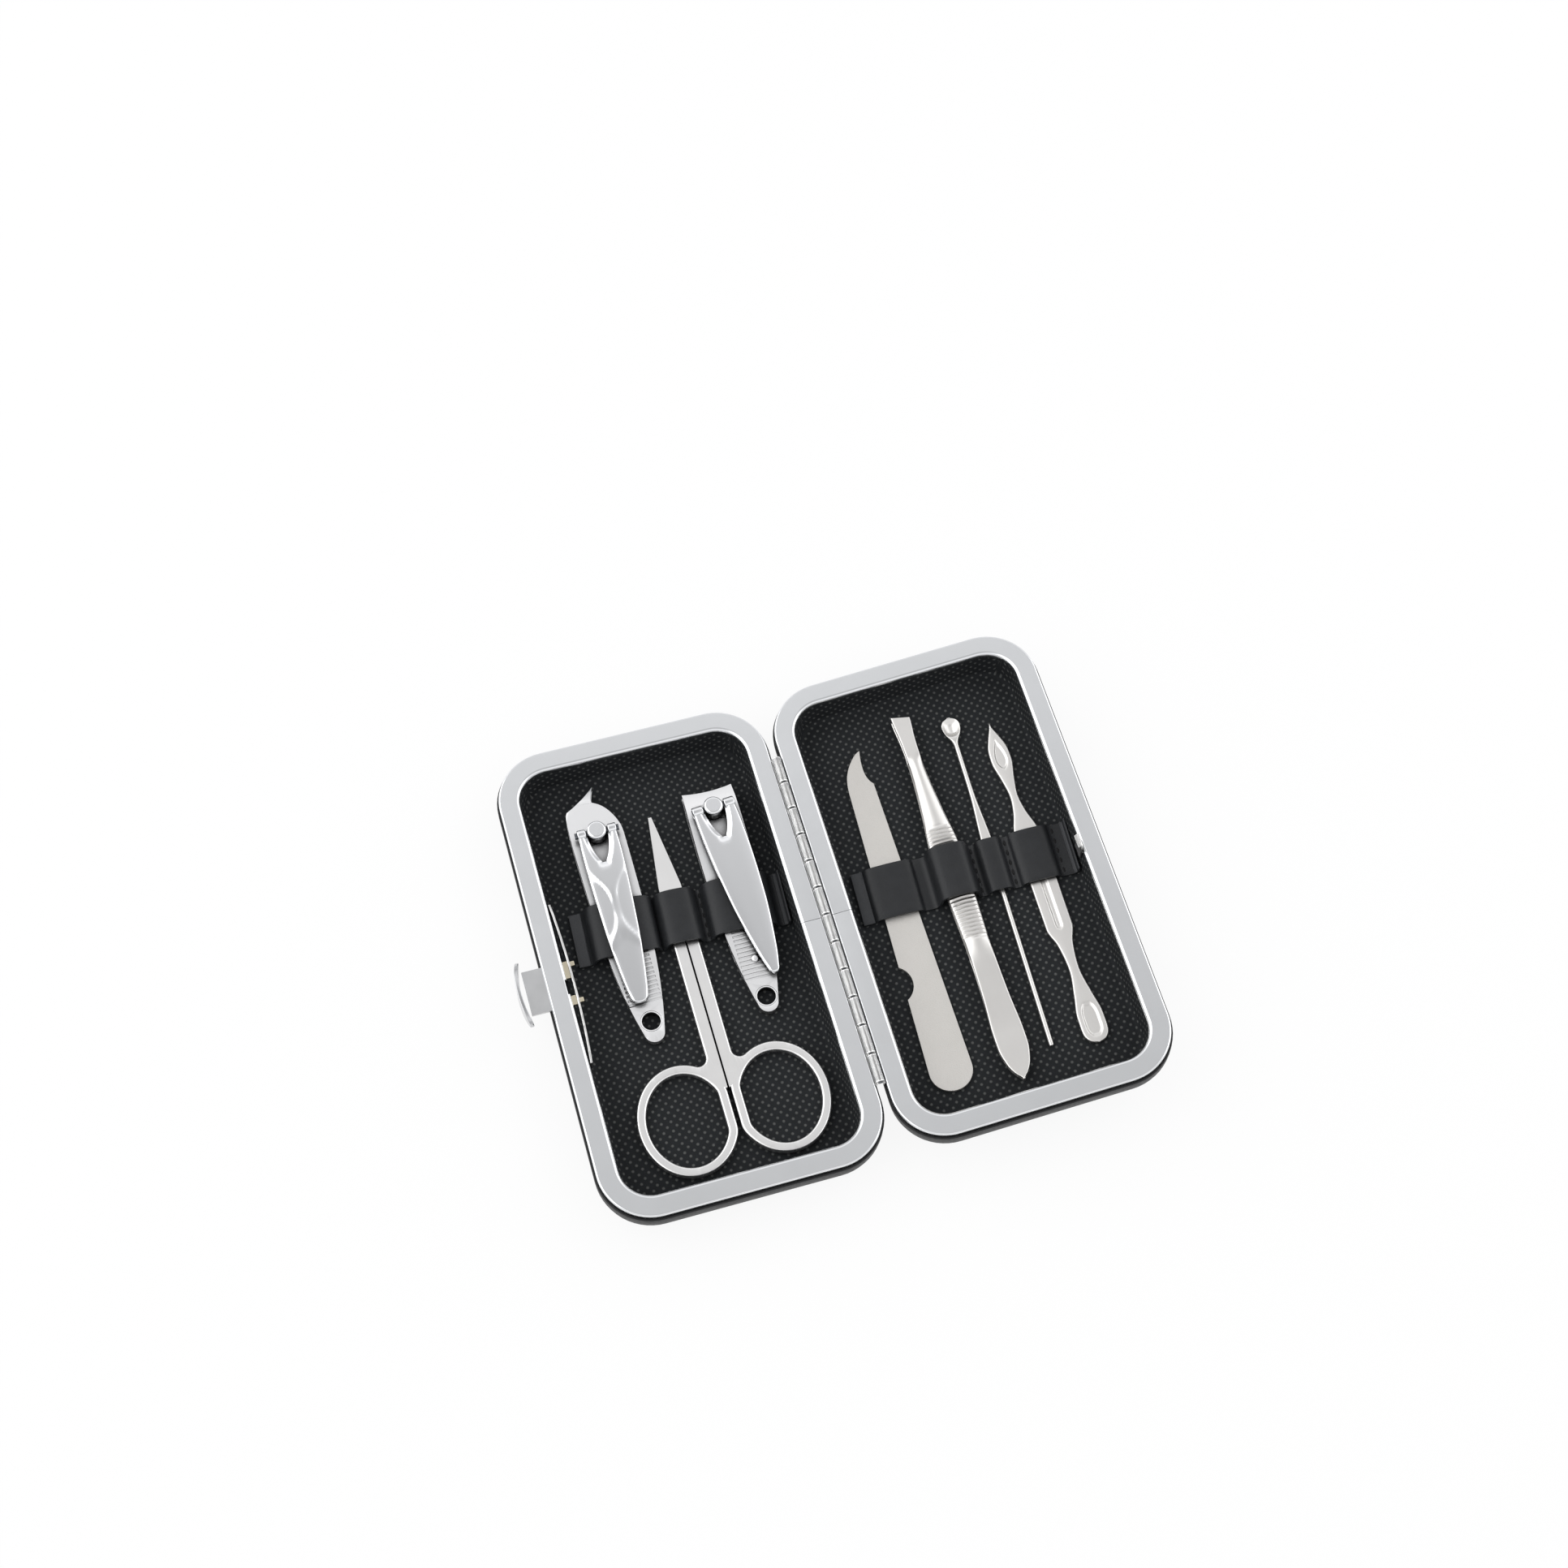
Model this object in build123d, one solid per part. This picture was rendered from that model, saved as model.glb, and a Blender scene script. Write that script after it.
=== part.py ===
from build123d import *
import os
from math import atan2, degrees, sqrt

# A folding manicure case. Each half is described in its own frame: x runs outwards from the hinge axis, y along
# the hinge and z up from the top of the rim. The base is the mirror image of that frame and lies level; the lid
# is turned up about the hinge. The origin is in the middle of the base's underside. Millimetres and degrees.

# ---- case halves
half_width = 60.3           # rim, outside, across the hinge
half_height = 12.0
corner_radius = 11.5        # rim, outside, in plan
rim_width = 4.65
rim_sheet = 0.5
rim_depth = 1.7             # skirt and lip of the rim
lip_wall = 1.0
lip_round = 0.85
rim_edge_round = 0.4
seam_gap = 0.12             # butt joint of the bent rim
cover_proud = 0.5           # the cover stands out past the rim
cover_thickness = 0.6
cover_round = 8.5
core_thickness = 1.0
tray_depth = 7.95           # lining floor below the rim
lining_thickness = 0.5
lining_draft = 5.0
floor_round = 1.2
open_tilt = 6.0             # the lid stops this far short of lying flat

# ---- hinge
hinge_gap = 1.1             # hinge axis to rim
rim_gap = 0.2               # between the rims of the shut case
knuckle_count = 12
knuckle_pitch = 6.52
knuckle_gap = 0.12
knuckle_radius = 0.95
pin_radius = 0.45
pin_clearance = 0.05
leaf_thickness = 0.5

# ---- clasp
clasp_y = -0.2
tab_width = 10.0
tab_thickness = 0.7
tab_drop = 0.65             # top of the tab below the rim
tab_reach = 4.3             # tab outside the rim
tab_clearance = 0.05
leg_widths = (3.9, 2.1)     # the leg on the +y side is the wider one
prong_width = 1.0
prong_reach = 0.9           # past the spring
clasp_travel = 1.2
plate_length = 14.6
plate_height = 6.2
plate_thickness = 0.8
plate_bow = 1.1
spring_length = 36.9
spring_height = 3.2
spring_thickness = 0.45
spring_bow = 0.8
spring_seat = 0.2           # spring ends to the lip
catch_width = 3.0
catch_thickness = 0.4
catch_rise = 3.0            # above the lid's rim
catch_drop = 3.7
barb_reach = 0.55
barb_height = 0.7
catch_gap = 0.2             # catch plate to the lip

# ---- straps
strap_width = 12.3
strap_thickness = 0.6
strap_skew = -2.58
strap_bend = 0.42
strap_clearance = 0.05
base_strap_from_post = 22.6 # middle of the strap, behind the oblique clipper's post
lid_strap_y = 3.0
tab_length = 2.2            # sewn end of a strap
strap_wall_room = 2.0       # from a tab's end to the wall of the tray
hump_slope = 0.7            # how far a loop's side leans in
side_room = 0.2             # beside a tool in its loop
skew_room = 0.35            # more on the side that the skewed loop comes near

# ---- clippers, each in its own frame: post at the origin, jaws towards +y, underside at z = 0
floor_gap = 0.15            # tools lie this far over the lining
arm_thickness = 1.0
arm_half_width = 5.8
oblique_tail = 48.8         # post to the tail of the arms
oblique_tip = 12.2          # post to the corner of the jaws
straight_tail_less = 1.2    # the straight clipper's tail is shorter by this
arm_rise = 2.1              # underside of the upper arm over the lower one at the post
jaw_gap = 1.4
jaw_drop = 1.1
eyelet_from_tail = 4.8      # oblique clipper
ribs_from_eyelet = 15.5
spring_from_eyelet = 4.0    # eyelet to where the two arms part
eyelet_radius = 2.3
eyelet_wall = 0.3
post_radius = 1.5
post_head_radius = 2.15
post_head_height = 7.4
post_foot_radius = 2.2
post_foot_height = 0.4
post_clearance = 0.06
post_slot_room = 0.4        # round the post in the upper arm, which tips
cross_pin_radius = 0.7
cross_pin_height = 5.9
cross_pin_clearance = 0.05
ear_radius = 1.25
ear_outer = 4.9
lever_thickness = 1.0
lever_length = 41.0
lever_lip = 1.3
slot_length = 7.4
rib_pitch = 1.0
rib_depth = 0.15

# ---- scissors, origin at the screw, tips towards +y
blade_length = 23.0
blade_half_width = 2.45
blade_layer = 1.0
blade_play = 0.04
shank_half_width = 2.85
shank_gap = 0.4
shank_top = -7.5            # here the shanks reach their full thickness
heel_room = 0.7
ring_centre = (10.1, -46.2)
ring_half_width = 8.45      # hole
ring_half_height = 10.2
ring_flat_reach = 7.65      # to the side that faces the other ring
ring_flat_bend = 3.0
ring_band = 2.05
crotch_radius = 1.7
ring_edge_round = 0.5
screw_radius = 1.2
screw_head_radius = 1.9
screw_clearance = 0.05

# ---- flat tools
file_thickness = 0.8
file_end_radius = 4.65
file_notch_radius = 4.4
tweezer_sheet = 0.9
tweezer_bow = 0.95
tweezer_tip_gap = 1.6
tweezer_end_room = 5.25     # mean of tray wall to a tool's two ends, for each of the lid's tools
file_end_room = 6.3
pick_end_room = 8.9
pusher_end_room = 10.6
pick_radius = 0.55
pick_grip_half_width = 1.2
spoon_half_width = 2.05
spoon_wall = 0.35
pusher_thickness = 1.1
recess_depth = 0.35

# ---- where the tools lie: across the tray as a share of its width from the hinge side, and lean in degrees
oblique_clipper_share = 0.7157
oblique_clipper_leans = (0.76, -0.8)                # arms, lever
straight_clipper_share = 0.2059
straight_clipper_leans = (-0.5, 4.1)
scissors_share = 0.4735
file_share, file_lean = 0.2, 0.9
tweezers_share, tweezers_lean = 0.4627, 0.2
pick_share, pick_lean = 0.6431, 2.0
pusher_share, pusher_lean = 0.8206, 0.94
jaw_room = 4.25             # tray wall to the oblique clipper's tip
post_stagger = 1.0          # the straight clipper's post lies further from that wall
ring_end_room = 2.9         # tray wall to the finger rings
tail_gap = 6.05             # finger rings to the oblique clipper's tail
file_y, tweezers_y, pick_y, pusher_y = -0.1, -1.6, -0.75, -3.35     # middle of each of the lid's tools

# ---- worked out from the sizes above
half_middle = hinge_gap + half_width / 2
hinge_x = half_middle
hinge_z = half_height + rim_gap / 2
opening_near = hinge_gap + rim_width
opening_far = hinge_gap + half_width - rim_width
opening_width = half_width - 2 * rim_width
ring_length = 2 * (ring_half_height + ring_band)
opening_length = ring_end_room + ring_length + tail_gap + oblique_tail + oblique_tip + jaw_room
half_length = opening_length + 2 * rim_width        # rim, outside, along the hinge
opening_radius = corner_radius - rim_width
lip_face = opening_far
tool_floor = -tray_depth + floor_gap
straight_tail = oblique_tail - straight_tail_less
eyelet_y = eyelet_from_tail - oblique_tail
arm_spring_start = eyelet_y + spring_from_eyelet
tweezer_half_length = opening_length / 2 - tweezer_end_room
file_half_length = opening_length / 2 - file_end_room
pick_half_length = opening_length / 2 - pick_end_room
pusher_half_length = opening_length / 2 - pusher_end_room
oblique_post_y = opening_length / 2 - jaw_room - oblique_tip
scissors_y = ring_end_room + ring_length / 2 - ring_centre[1] - opening_length / 2
base_strap_y = oblique_post_y - base_strap_from_post


def across(share):
    """Place across a tray, from the hinge axis."""
    return opening_near + share * opening_width


# x, y, lean of the tool; a clipper's lever leans by itself
oblique_clipper_at = (across(oblique_clipper_share), oblique_post_y, *oblique_clipper_leans)
straight_clipper_at = (across(straight_clipper_share), oblique_post_y - post_stagger, *straight_clipper_leans)
scissors_at = (across(scissors_share), scissors_y)
file_at = (across(file_share), file_y, file_lean)
tweezers_at = (across(tweezers_share), tweezers_y, tweezers_lean)
pick_at = (across(pick_share), pick_y, pick_lean)
pusher_at = (across(pusher_share), pusher_y, pusher_lean)


def in_base(shape):
    """A piece of the base's half frame, mirrored and set level."""
    return Pos(hinge_x, 0, half_height) * mirror(shape, about=Plane.YZ)


def in_lid(shape):
    """A piece of the lid's half frame, turned up about the hinge axis."""
    return Pos(hinge_x, 0, hinge_z) * Rot(0, -open_tilt, 0) * Pos(0, 0, -rim_gap / 2) * shape


def slab(outline, low, high):
    """An outline in plan, made solid between two heights."""
    return extrude(Pos(0, 0, low) * outline, high - low)


def block(x, y, z):
    """A box between three pairs of coordinates."""
    size = (x[1] - x[0], y[1] - y[0], z[1] - z[0])
    return Pos((x[0] + x[1]) / 2, (y[0] + y[1]) / 2, (z[0] + z[1]) / 2) * Box(*size)


def side_profile(points):
    """A closed polygon of (y, z) points in the YZ plane."""
    return make_face(Polyline(*[(0, y, z) for y, z in points], close=True))


# ---- case shells

def plan(inset):
    """The outside of the rim in plan, drawn in by inset."""
    rounding = corner_radius - inset
    return Pos(half_middle, 0) * RectangleRounded(half_width - 2 * inset, half_length - 2 * inset, rounding)


def hull_form(depth):
    """The outer form of a half below the rim, drawn in by depth under its skin."""
    body = slab(plan(depth - cover_proud), -half_height + depth, -rim_depth)
    return fillet(body.edges().group_by(Axis.Z)[0], cover_round - depth)


def tray_form(wall):
    """The space of the tray, grown by wall."""
    opening = Pos(half_middle, 0) * RectangleRounded(
        opening_width + 2 * wall, opening_length + 2 * wall, opening_radius + wall)
    body = extrude(Pos(0, 0, -rim_depth) * opening, rim_depth - tray_depth - wall, taper=lining_draft)
    return fillet(body.edges().group_by(Axis.Z)[0], floor_round + wall)


def half_cover():
    return hull_form(0) - hull_form(cover_thickness)


def half_core():
    """Moulded shell with a flange on top that fills the rim's channel."""
    shell = hull_form(cover_thickness) - hull_form(cover_thickness + core_thickness)
    flange = slab(plan(rim_sheet) - plan(rim_width - lip_wall), -rim_depth, -rim_sheet)
    return shell + flange


def half_padding():
    return hull_form(cover_thickness + core_thickness) - tray_form(lining_thickness)


def half_lining():
    return tray_form(lining_thickness) - tray_form(0)


def half_rim():
    """Bent channel of sheet: flat top, outer skirt, rolled inner lip and a butt seam beside the hinge."""
    ring = slab(plan(0), -rim_depth, 0)
    ring = fillet(ring.edges().group_by(Axis.Z)[-1], rim_edge_round)
    ring -= slab(plan(rim_width), -rim_depth, 0)
    lip_edges = ring.faces().sort_by(Axis.Z)[-1].inner_wires()[0].edges()
    ring = fillet(lip_edges, lip_round)
    ring -= slab(plan(rim_sheet) - plan(rim_width - lip_wall), -rim_depth, -rim_sheet)
    return ring - block((hinge_gap, opening_near), (clasp_y - seam_gap, clasp_y), (-rim_depth, 0))


# ---- hinge

def hinge_leaf(first):
    """Strip along the rim's skirt with every second knuckle, counted from first at the +y end."""
    length = knuckle_count * knuckle_pitch
    top = rim_gap / 2 - sqrt((knuckle_radius + pin_clearance) ** 2 - (hinge_gap - leaf_thickness) ** 2)
    leaf = block((hinge_gap - leaf_thickness, hinge_gap), (-length / 2, length / 2), (-rim_depth, top))
    for number in range(first, knuckle_count, 2):
        middle = length / 2 - (number + 0.5) * knuckle_pitch
        reach = (knuckle_pitch - knuckle_gap) / 2
        knuckle = Pos(0, middle, rim_gap / 2) * Rot(90, 0, 0) * Cylinder(knuckle_radius, 2 * reach)
        web_low = rim_gap / 2 - knuckle_radius
        web = block((0, hinge_gap), (middle - reach, middle + reach), (web_low, web_low + leaf_thickness))
        leaf += knuckle + web
    bore = Pos(0, 0, rim_gap / 2) * Rot(90, 0, 0) * Cylinder(pin_radius + pin_clearance, length + 2)
    return leaf - bore


def hinge_pin():
    return Pos(0, 0, rim_gap / 2) * Rot(90, 0, 0) * Cylinder(pin_radius, knuckle_count * knuckle_pitch)


# ---- clasp: pushed in through the base's rim against a bowed leaf spring

tab_levels = (-tab_drop - tab_thickness, -tab_drop)
tab_outer = hinge_gap + half_width + tab_reach
spring_outer_face = lip_face - spring_seat - spring_bow
leg_end = spring_outer_face + spring_bow * (tab_width / spring_length) ** 2
leg_spans = (
    (clasp_y + tab_width / 2 - leg_widths[0], clasp_y + tab_width / 2),
    (clasp_y - tab_width / 2, clasp_y - tab_width / 2 + leg_widths[1]),
)
prong_spans = (
    (leg_spans[0][1] - 0.3 - prong_width, leg_spans[0][1] - 0.3),
    (leg_spans[1][0] + 0.3, leg_spans[1][0] + 0.3 + prong_width),
)
prong_end = spring_outer_face - spring_thickness - prong_reach
catch_middle = (leg_spans[0][0] + leg_spans[1][1]) / 2


def clasp_passage():
    """What the rim, the core and the spring leave free for the tab's legs and prongs."""
    low, high = tab_levels[0] - tab_clearance, tab_levels[1] + tab_clearance
    spans = [(a - tab_clearance, b + tab_clearance) for a, b in leg_spans]
    legs = [block((spring_outer_face, tab_outer), span, (low, high)) for span in spans]
    travelled = plan_core_edge() - clasp_travel - tab_clearance
    middle = block((travelled, tab_outer), (spans[1][0], spans[0][1]), (low, high))
    return legs[0] + legs[1] + middle


def plan_core_edge():
    """The legs start here, inside the rim's channel."""
    return lip_face + lip_wall + clasp_travel + 0.3


def clasp_tab():
    """Flat tab with two legs, each ending in a prong that goes through the spring."""
    outside = block((plan_core_edge(), tab_outer), (clasp_y - tab_width / 2, clasp_y + tab_width / 2), tab_levels)
    tab = outside
    for leg, prong in zip(leg_spans, prong_spans):
        tab += block((leg_end, plan_core_edge()), leg, tab_levels)
        tab += block((prong_end, leg_end), prong, tab_levels)
    return tab


def clasp_thumb_plate():
    """Oval plate, bowed away from the case, standing across the tab's outer end."""
    chord = plate_length / 2
    radius = (chord ** 2 + plate_bow ** 2) / (2 * plate_bow)
    middle = tab_outer + plate_bow - radius
    height = 2 * plate_height
    arched = Cylinder(radius + plate_thickness, height) - Cylinder(radius, height)
    arched = Pos(middle, clasp_y, tab_levels[0]) * arched
    level = (tab_levels[0] + tab_levels[1]) / 2
    oval = Plane.YZ * Ellipse(plate_length / 2, plate_height / 2)
    oval = Pos(tab_outer - 1, clasp_y, level) * extrude(oval, plate_bow + plate_thickness + 2)
    plate = arched & oval
    return fillet(plate.edges(), 0.15)


def clasp_spring():
    """Strip on edge, bowed into the tray, with holes for the prongs and a window that the barb enters."""
    face = lip_face - spring_seat
    bow = ThreePointArc((face, clasp_y + spring_length / 2), (face - spring_bow, clasp_y),
                        (face, clasp_y - spring_length / 2))
    inner = ThreePointArc((face - spring_thickness, clasp_y + spring_length / 2),
                          (face - spring_bow - spring_thickness, clasp_y),
                          (face - spring_thickness, clasp_y - spring_length / 2))
    outline = make_face([bow, Line(bow @ 1, inner @ 1), inner, Line(inner @ 0, bow @ 0)])
    strip = slab(outline, -tab_drop - spring_height, -tab_drop + 0.2)
    low, high = tab_levels[0] - tab_clearance, tab_levels[1] + tab_clearance
    for span in prong_spans:
        hole = (span[0] - tab_clearance, span[1] + tab_clearance)
        strip -= block((face - 2 * spring_bow - spring_thickness, lip_face), hole, (low - 0.1, high + 0.1))
    half = catch_width / 2 + 0.3
    return strip - block((face - 2 * spring_bow - spring_thickness, lip_face),
                         (catch_middle - half, catch_middle + half), window_levels())


def window_levels():
    """Where the barb lies in the base's frame when the case is shut, with a little room."""
    high = rim_gap - catch_rise + barb_height
    return (high - barb_height - 0.2, high + 0.2)


def clasp_catch():
    """Strip on the lid's lip that stands over the rim, with a barb that points into the case."""
    outer = lip_face - catch_gap
    strip = block((outer - catch_thickness, outer), catch_span(), (-catch_drop, catch_rise))
    foot = block((outer, lip_face), catch_span(), (-rim_depth, -rim_depth / 2))
    barb = Plane.XZ * make_face(Polyline(
        (outer - catch_thickness, catch_rise - barb_height),
        (outer - catch_thickness - barb_reach, catch_rise - barb_height),
        (outer - catch_thickness, catch_rise), close=True))
    barb = Pos(0, catch_span()[1], 0) * extrude(barb, catch_width)
    return strip + foot + barb


def catch_span():
    return (catch_middle - catch_width / 2, catch_middle + catch_width / 2)


def clasp_notch():
    """Room in the base's lip for the catch."""
    low, high = catch_span()
    return block((lip_face - 0.1, lip_face + lip_wall * 0.6), (low - 0.2, high + 0.2), (-rim_depth, 0))


# ---- straps

def strap_section(heights):
    """Closed outline of a strap of even thickness along a path of (x, z) points, with rounded bends."""
    line = FilletPolyline(*[(x, height - tray_depth) for x, height in heights], radius=strap_bend)
    band = offset(line, amount=strap_thickness / 2, side=Side.BOTH)
    return Plane.XZ * make_face(band.edges())


def loop(low, high, height, slope=hump_slope):
    """Path of one loop over a tool that spans low to high, its underside at height over the lining."""
    middle = strap_thickness / 2
    near, far = low - side_room - middle, high + side_room + middle
    return [(near - slope, middle), (near, height + middle), (far, height + middle), (far + slope, middle)]


def set_strap(shape, y, skew):
    """Turns a strap, made about x = 0, y = 0, by its skew and puts it in its half."""
    return Pos(half_middle, y, 0) * Rot(0, 0, skew) * shape


# ---- clippers

def clipper_body_sides(tail):
    """Right side of both arms in plan, from the shoulder to the tail."""
    return [(arm_half_width, -4), (arm_half_width * 0.95, -20), (arm_half_width * 0.72, tail + 12.5),
            (arm_half_width * 0.36, tail + 1.6)]


def straight_clipper_plan():
    """Both arms of the clipper whose jaws run straight across, a little hollow."""
    tail = -straight_tail
    right = Spline((arm_half_width * 0.965, 5.9), *clipper_body_sides(tail))
    left = mirror(right, about=Plane.YZ)
    front = ThreePointArc(left @ 0, (0, 5.3), right @ 0)
    end = ThreePointArc(right @ 1, (0, tail), left @ 1)
    return make_face([front, right, end, left])


def oblique_clipper_plan():
    """Both arms of the clipper whose jaws slant up to one sharp corner."""
    tail = -oblique_tail
    tip, corner, heel = (2.0, oblique_tip), (-4.9, oblique_tip - 5.1), (1.1, oblique_tip - 4.3)
    right = Spline(*[(x, y) for x, y in clipper_body_sides(tail)])
    shoulder = Spline(heel, (3.6, 5.8), (5.4, 2.2), right @ 0, tangents=[(0.9, -0.45), right % 0])
    neck = Spline(tip, (1.15, oblique_tip - 2.4), heel, tangents=[(-0.4, -0.9), shoulder % 0])
    edge = ThreePointArc(corner, (-1.2, oblique_tip - 2.9), tip)
    left = mirror(right, about=Plane.YZ)
    cheek = Spline(corner, (-5.6, 4.6), left @ 0, tangents=[(-0.7, -0.7), left % 0])
    end = ThreePointArc(right @ 1, (0, tail), left @ 1)
    return make_face([edge, neck, shoulder, right, end, left, cheek])


def jaw_line(outline):
    """The jaws' reach along y."""
    return outline.bounding_box().max.Y


def lower_arm(outline):
    """Flat spring arm whose front turns up into the lower jaw."""
    front = jaw_line(outline)
    bend = front - 4.5
    profile = side_profile([(-60, 0), (bend, 0), (front + 0.5, jaw_drop * 0.9), (front + 0.5, jaw_edge_low()),
                            (bend, arm_thickness), (-60, arm_thickness)])
    arm = extrude(profile, 20, both=True) & slab(outline, -1, 6)
    arm -= Cylinder(post_radius + post_clearance, 10)
    arm -= Cylinder(post_foot_radius + post_clearance, 2 * (post_foot_height + floor_gap / 2))
    return arm - Pos(0, eyelet_y, 0) * Cylinder(eyelet_radius, 10)


def jaw_edge_low():
    """Height of the lower cutting edge."""
    return (2 * arm_thickness + arm_rise) / 2 - jaw_gap / 2


def upper_arm(outline):
    """Spring arm that rises from the tail, with the upper jaw bent down in front and grip ribs across the back."""
    front = jaw_line(outline)
    bend = front - 4.0
    low = arm_thickness + arm_rise
    edge = jaw_edge_low() + jaw_gap
    top = low + arm_thickness
    profile = side_profile([
        (-60, arm_thickness), (arm_spring_start, arm_thickness), (-3, low), (bend, low), (front + 0.5, edge),
        (front + 0.5, edge + 0.25), (bend + 0.6, top), (-3, top),
        (arm_spring_start, 2 * arm_thickness), (-60, 2 * arm_thickness)])
    arm = extrude(profile, 20, both=True) & slab(outline, -1, 8)
    arm -= Cylinder(post_radius + post_slot_room, 20)
    arm -= Pos(0, eyelet_y, 0) * Cylinder(eyelet_radius + 0.05, 10)
    slope = degrees(atan2(arm_rise, -3 - arm_spring_start))
    for number in range(12):
        y = eyelet_y + ribs_from_eyelet - number * rib_pitch
        z = top - arm_rise * (-3 - y) / (-3 - arm_spring_start)
        arm -= Pos(0, y, z) * Rot(slope, 0, 0) * Box(2 * arm_half_width * 0.62, rib_pitch / 2, 2 * rib_depth)
    return arm


def eyelet():
    tube = Cylinder(eyelet_radius, 2 * arm_thickness) - Cylinder(eyelet_radius - eyelet_wall, 2 * arm_thickness)
    return Pos(0, eyelet_y, arm_thickness) * tube


def post():
    """Turned post: flat foot in the lower arm, shaft and round head, cross-drilled for the pin."""
    foot = Pos(0, 0, floor_gap / 4 + post_foot_height / 2) * Cylinder(post_foot_radius, post_foot_height)
    shaft = Pos(0, 0, post_head_height / 2) * Cylinder(post_radius, post_head_height - floor_gap)
    neck_z = cross_pin_height - ear_radius
    head = Pos(0, 0, (neck_z + post_head_height) / 2) * Cylinder(post_head_radius, post_head_height - neck_z)
    head = fillet(head.edges().group_by(Axis.Z)[-1], 0.6)
    drilled = foot + shaft + head
    return drilled - Pos(0, 0, cross_pin_height) * Rot(0, 90, 0) * Cylinder(cross_pin_radius, 12)


def cross_pin():
    return Pos(0, 0, cross_pin_height) * Rot(0, 90, 0) * Cylinder(cross_pin_radius, 2 * ear_outer)


def lever(head_half, mid_half, tip_half, waisted):
    """Bowed lever: two ears on the cross pin, a teardrop slot behind the post and a lip bent down at the tip."""
    end = -lever_length
    right = Spline((head_half, 0.4), (head_half, -5), (mid_half, -0.55 * lever_length),
                   (tip_half, end + 1.0), tangents=[(0, -1), (-0.35, -1)])
    left = mirror(right, about=Plane.YZ)
    tip = ThreePointArc(right @ 1, (0, end), left @ 1)
    outline = make_face([right, tip, left, Line(left @ 0, right @ 0)])
    head_top, mid_top, tip_top = 6.75, 5.75, 4.1
    crown = ThreePointArc((0, 0.4, head_top), (0, -0.5 * lever_length, mid_top), (0, end + 1.2, tip_top))
    belly = ThreePointArc((0, 0.4, head_top - lever_thickness),
                          (0, -0.5 * lever_length, mid_top - lever_thickness),
                          (0, end + 1.6, tip_top - lever_thickness))
    lip_low = tip_top - lever_lip
    lip = Polyline(crown @ 1, (0, end - 0.1, tip_top - 0.5), (0, end - 0.1, lip_low),
                   (0, end + 0.7, lip_low), belly @ 1)
    profile = make_face([crown, lip, belly, Line(belly @ 0, crown @ 0)])
    plate = extrude(profile, 12, both=True) & slab(outline, 0, 9)
    if waisted:
        for side in (-1, 1):
            plate -= Pos(side * 2.9, -15, 8.0) * Rot(degrees(atan2(1.2, 14)), 0, 0) * spindle(7.6, 2.6)
    ears = Pos(0, 0, cross_pin_height) * Rot(0, 90, 0) * Cylinder(ear_radius, 2 * ear_outer)
    slot_half = post_head_radius + 0.2
    slot = Pos(0, 0) * Circle(slot_half) + Pos(0, -slot_length / 2) * Ellipse(slot_half * 0.82, slot_length / 2)
    slot += Pos(0, 2.5) * Rectangle(2 * slot_half, 5)
    post_room = Pos(0, 0, cross_pin_height) * Rot(0, 90, 0) * Cylinder(post_head_radius + 0.3, 2 * slot_half)
    piece = plate + ears - slab(slot, 0, 9) - post_room
    return piece - Pos(0, 0, cross_pin_height) * Rot(0, 90, 0) * Cylinder(cross_pin_radius + cross_pin_clearance, 14)


def spindle(half, radius):
    """A long round body along y, pointed at both ends."""
    arc = ThreePointArc((0, half), (radius, 0), (0, -half))
    return revolve(make_face([arc, Line((0, -half), (0, half))]), Axis.Y)


# ---- scissors: the two halves are alike, one turned over, and cross at the screw

def ring_outline(grown=0):
    """Finger ring of the half on the +x side, flat towards the other ring: its hole, or the hole grown."""
    x, y = ring_centre
    reach = ring_half_width + grown
    oval = Pos(x, y) * Ellipse(reach, ring_half_height + grown)
    flat = x - ring_flat_reach - grown
    oval &= Pos(flat + 2 * reach, y) * Rectangle(4 * reach, 4 * reach)
    return fillet(oval.vertices().filter_by_position(Axis.X, flat - 0.01, flat + 0.01), ring_flat_bend + grown)


def scissor_half():
    """Half with its ring on the +x side: half-thick blade and screw boss, full-thick shank and ring."""
    near = shank_gap / 2
    hole, ring = ring_outline(), ring_outline(ring_band)
    shank_low = ring_centre[1] + 4.6
    shank = make_face(Polyline((near, shank_top), (shank_half_width, shank_top), (shank_half_width, shank_low),
                               (near, shank_low), close=True))
    handle = ring + shank
    trimmed = slab(handle, 0, 2 * blade_layer) & block((near, 60), (-80, 0), (-1, 5))
    upright = trimmed.edges().filter_by(lambda edge: edge.length > 1.9 and abs((edge % 0.5).Z) > 0.99)
    crotch = [edge for edge in upright
              if abs((edge @ 0.5).X - shank_half_width) < 0.01 and ring_centre[1] + 6 < (edge @ 0.5).Y < shank_top - 1]
    trimmed = fillet(crotch, crotch_radius) - slab(hole, -1, 5)
    rims = [edge for edge in trimmed.edges().filter_by(Axis.Z, reverse=True) if (edge @ 0.5).Y < shank_top - 1
            and abs((edge @ 0.5).X - near) > 0.01]
    trimmed = fillet(rims, ring_edge_round)
    tip_half = 0.35
    heel = shank_top + heel_room
    blade = make_face(Polyline(
        (-tip_half, blade_length), (tip_half, blade_length), (blade_half_width, blade_length * 0.26),
        (blade_half_width, heel), (-blade_half_width, heel), (-blade_half_width, blade_length * 0.26), close=True))
    link = make_face(Polyline((near, heel + 1), (blade_half_width, heel + 1), (blade_half_width, shank_top - 3),
                              (near, shank_top - 3), close=True))
    layer = slab(blade, 0, blade_layer - blade_play) + slab(link, 0, blade_layer - blade_play)
    return trimmed + layer - Cylinder(screw_radius + screw_clearance, 10)


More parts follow.
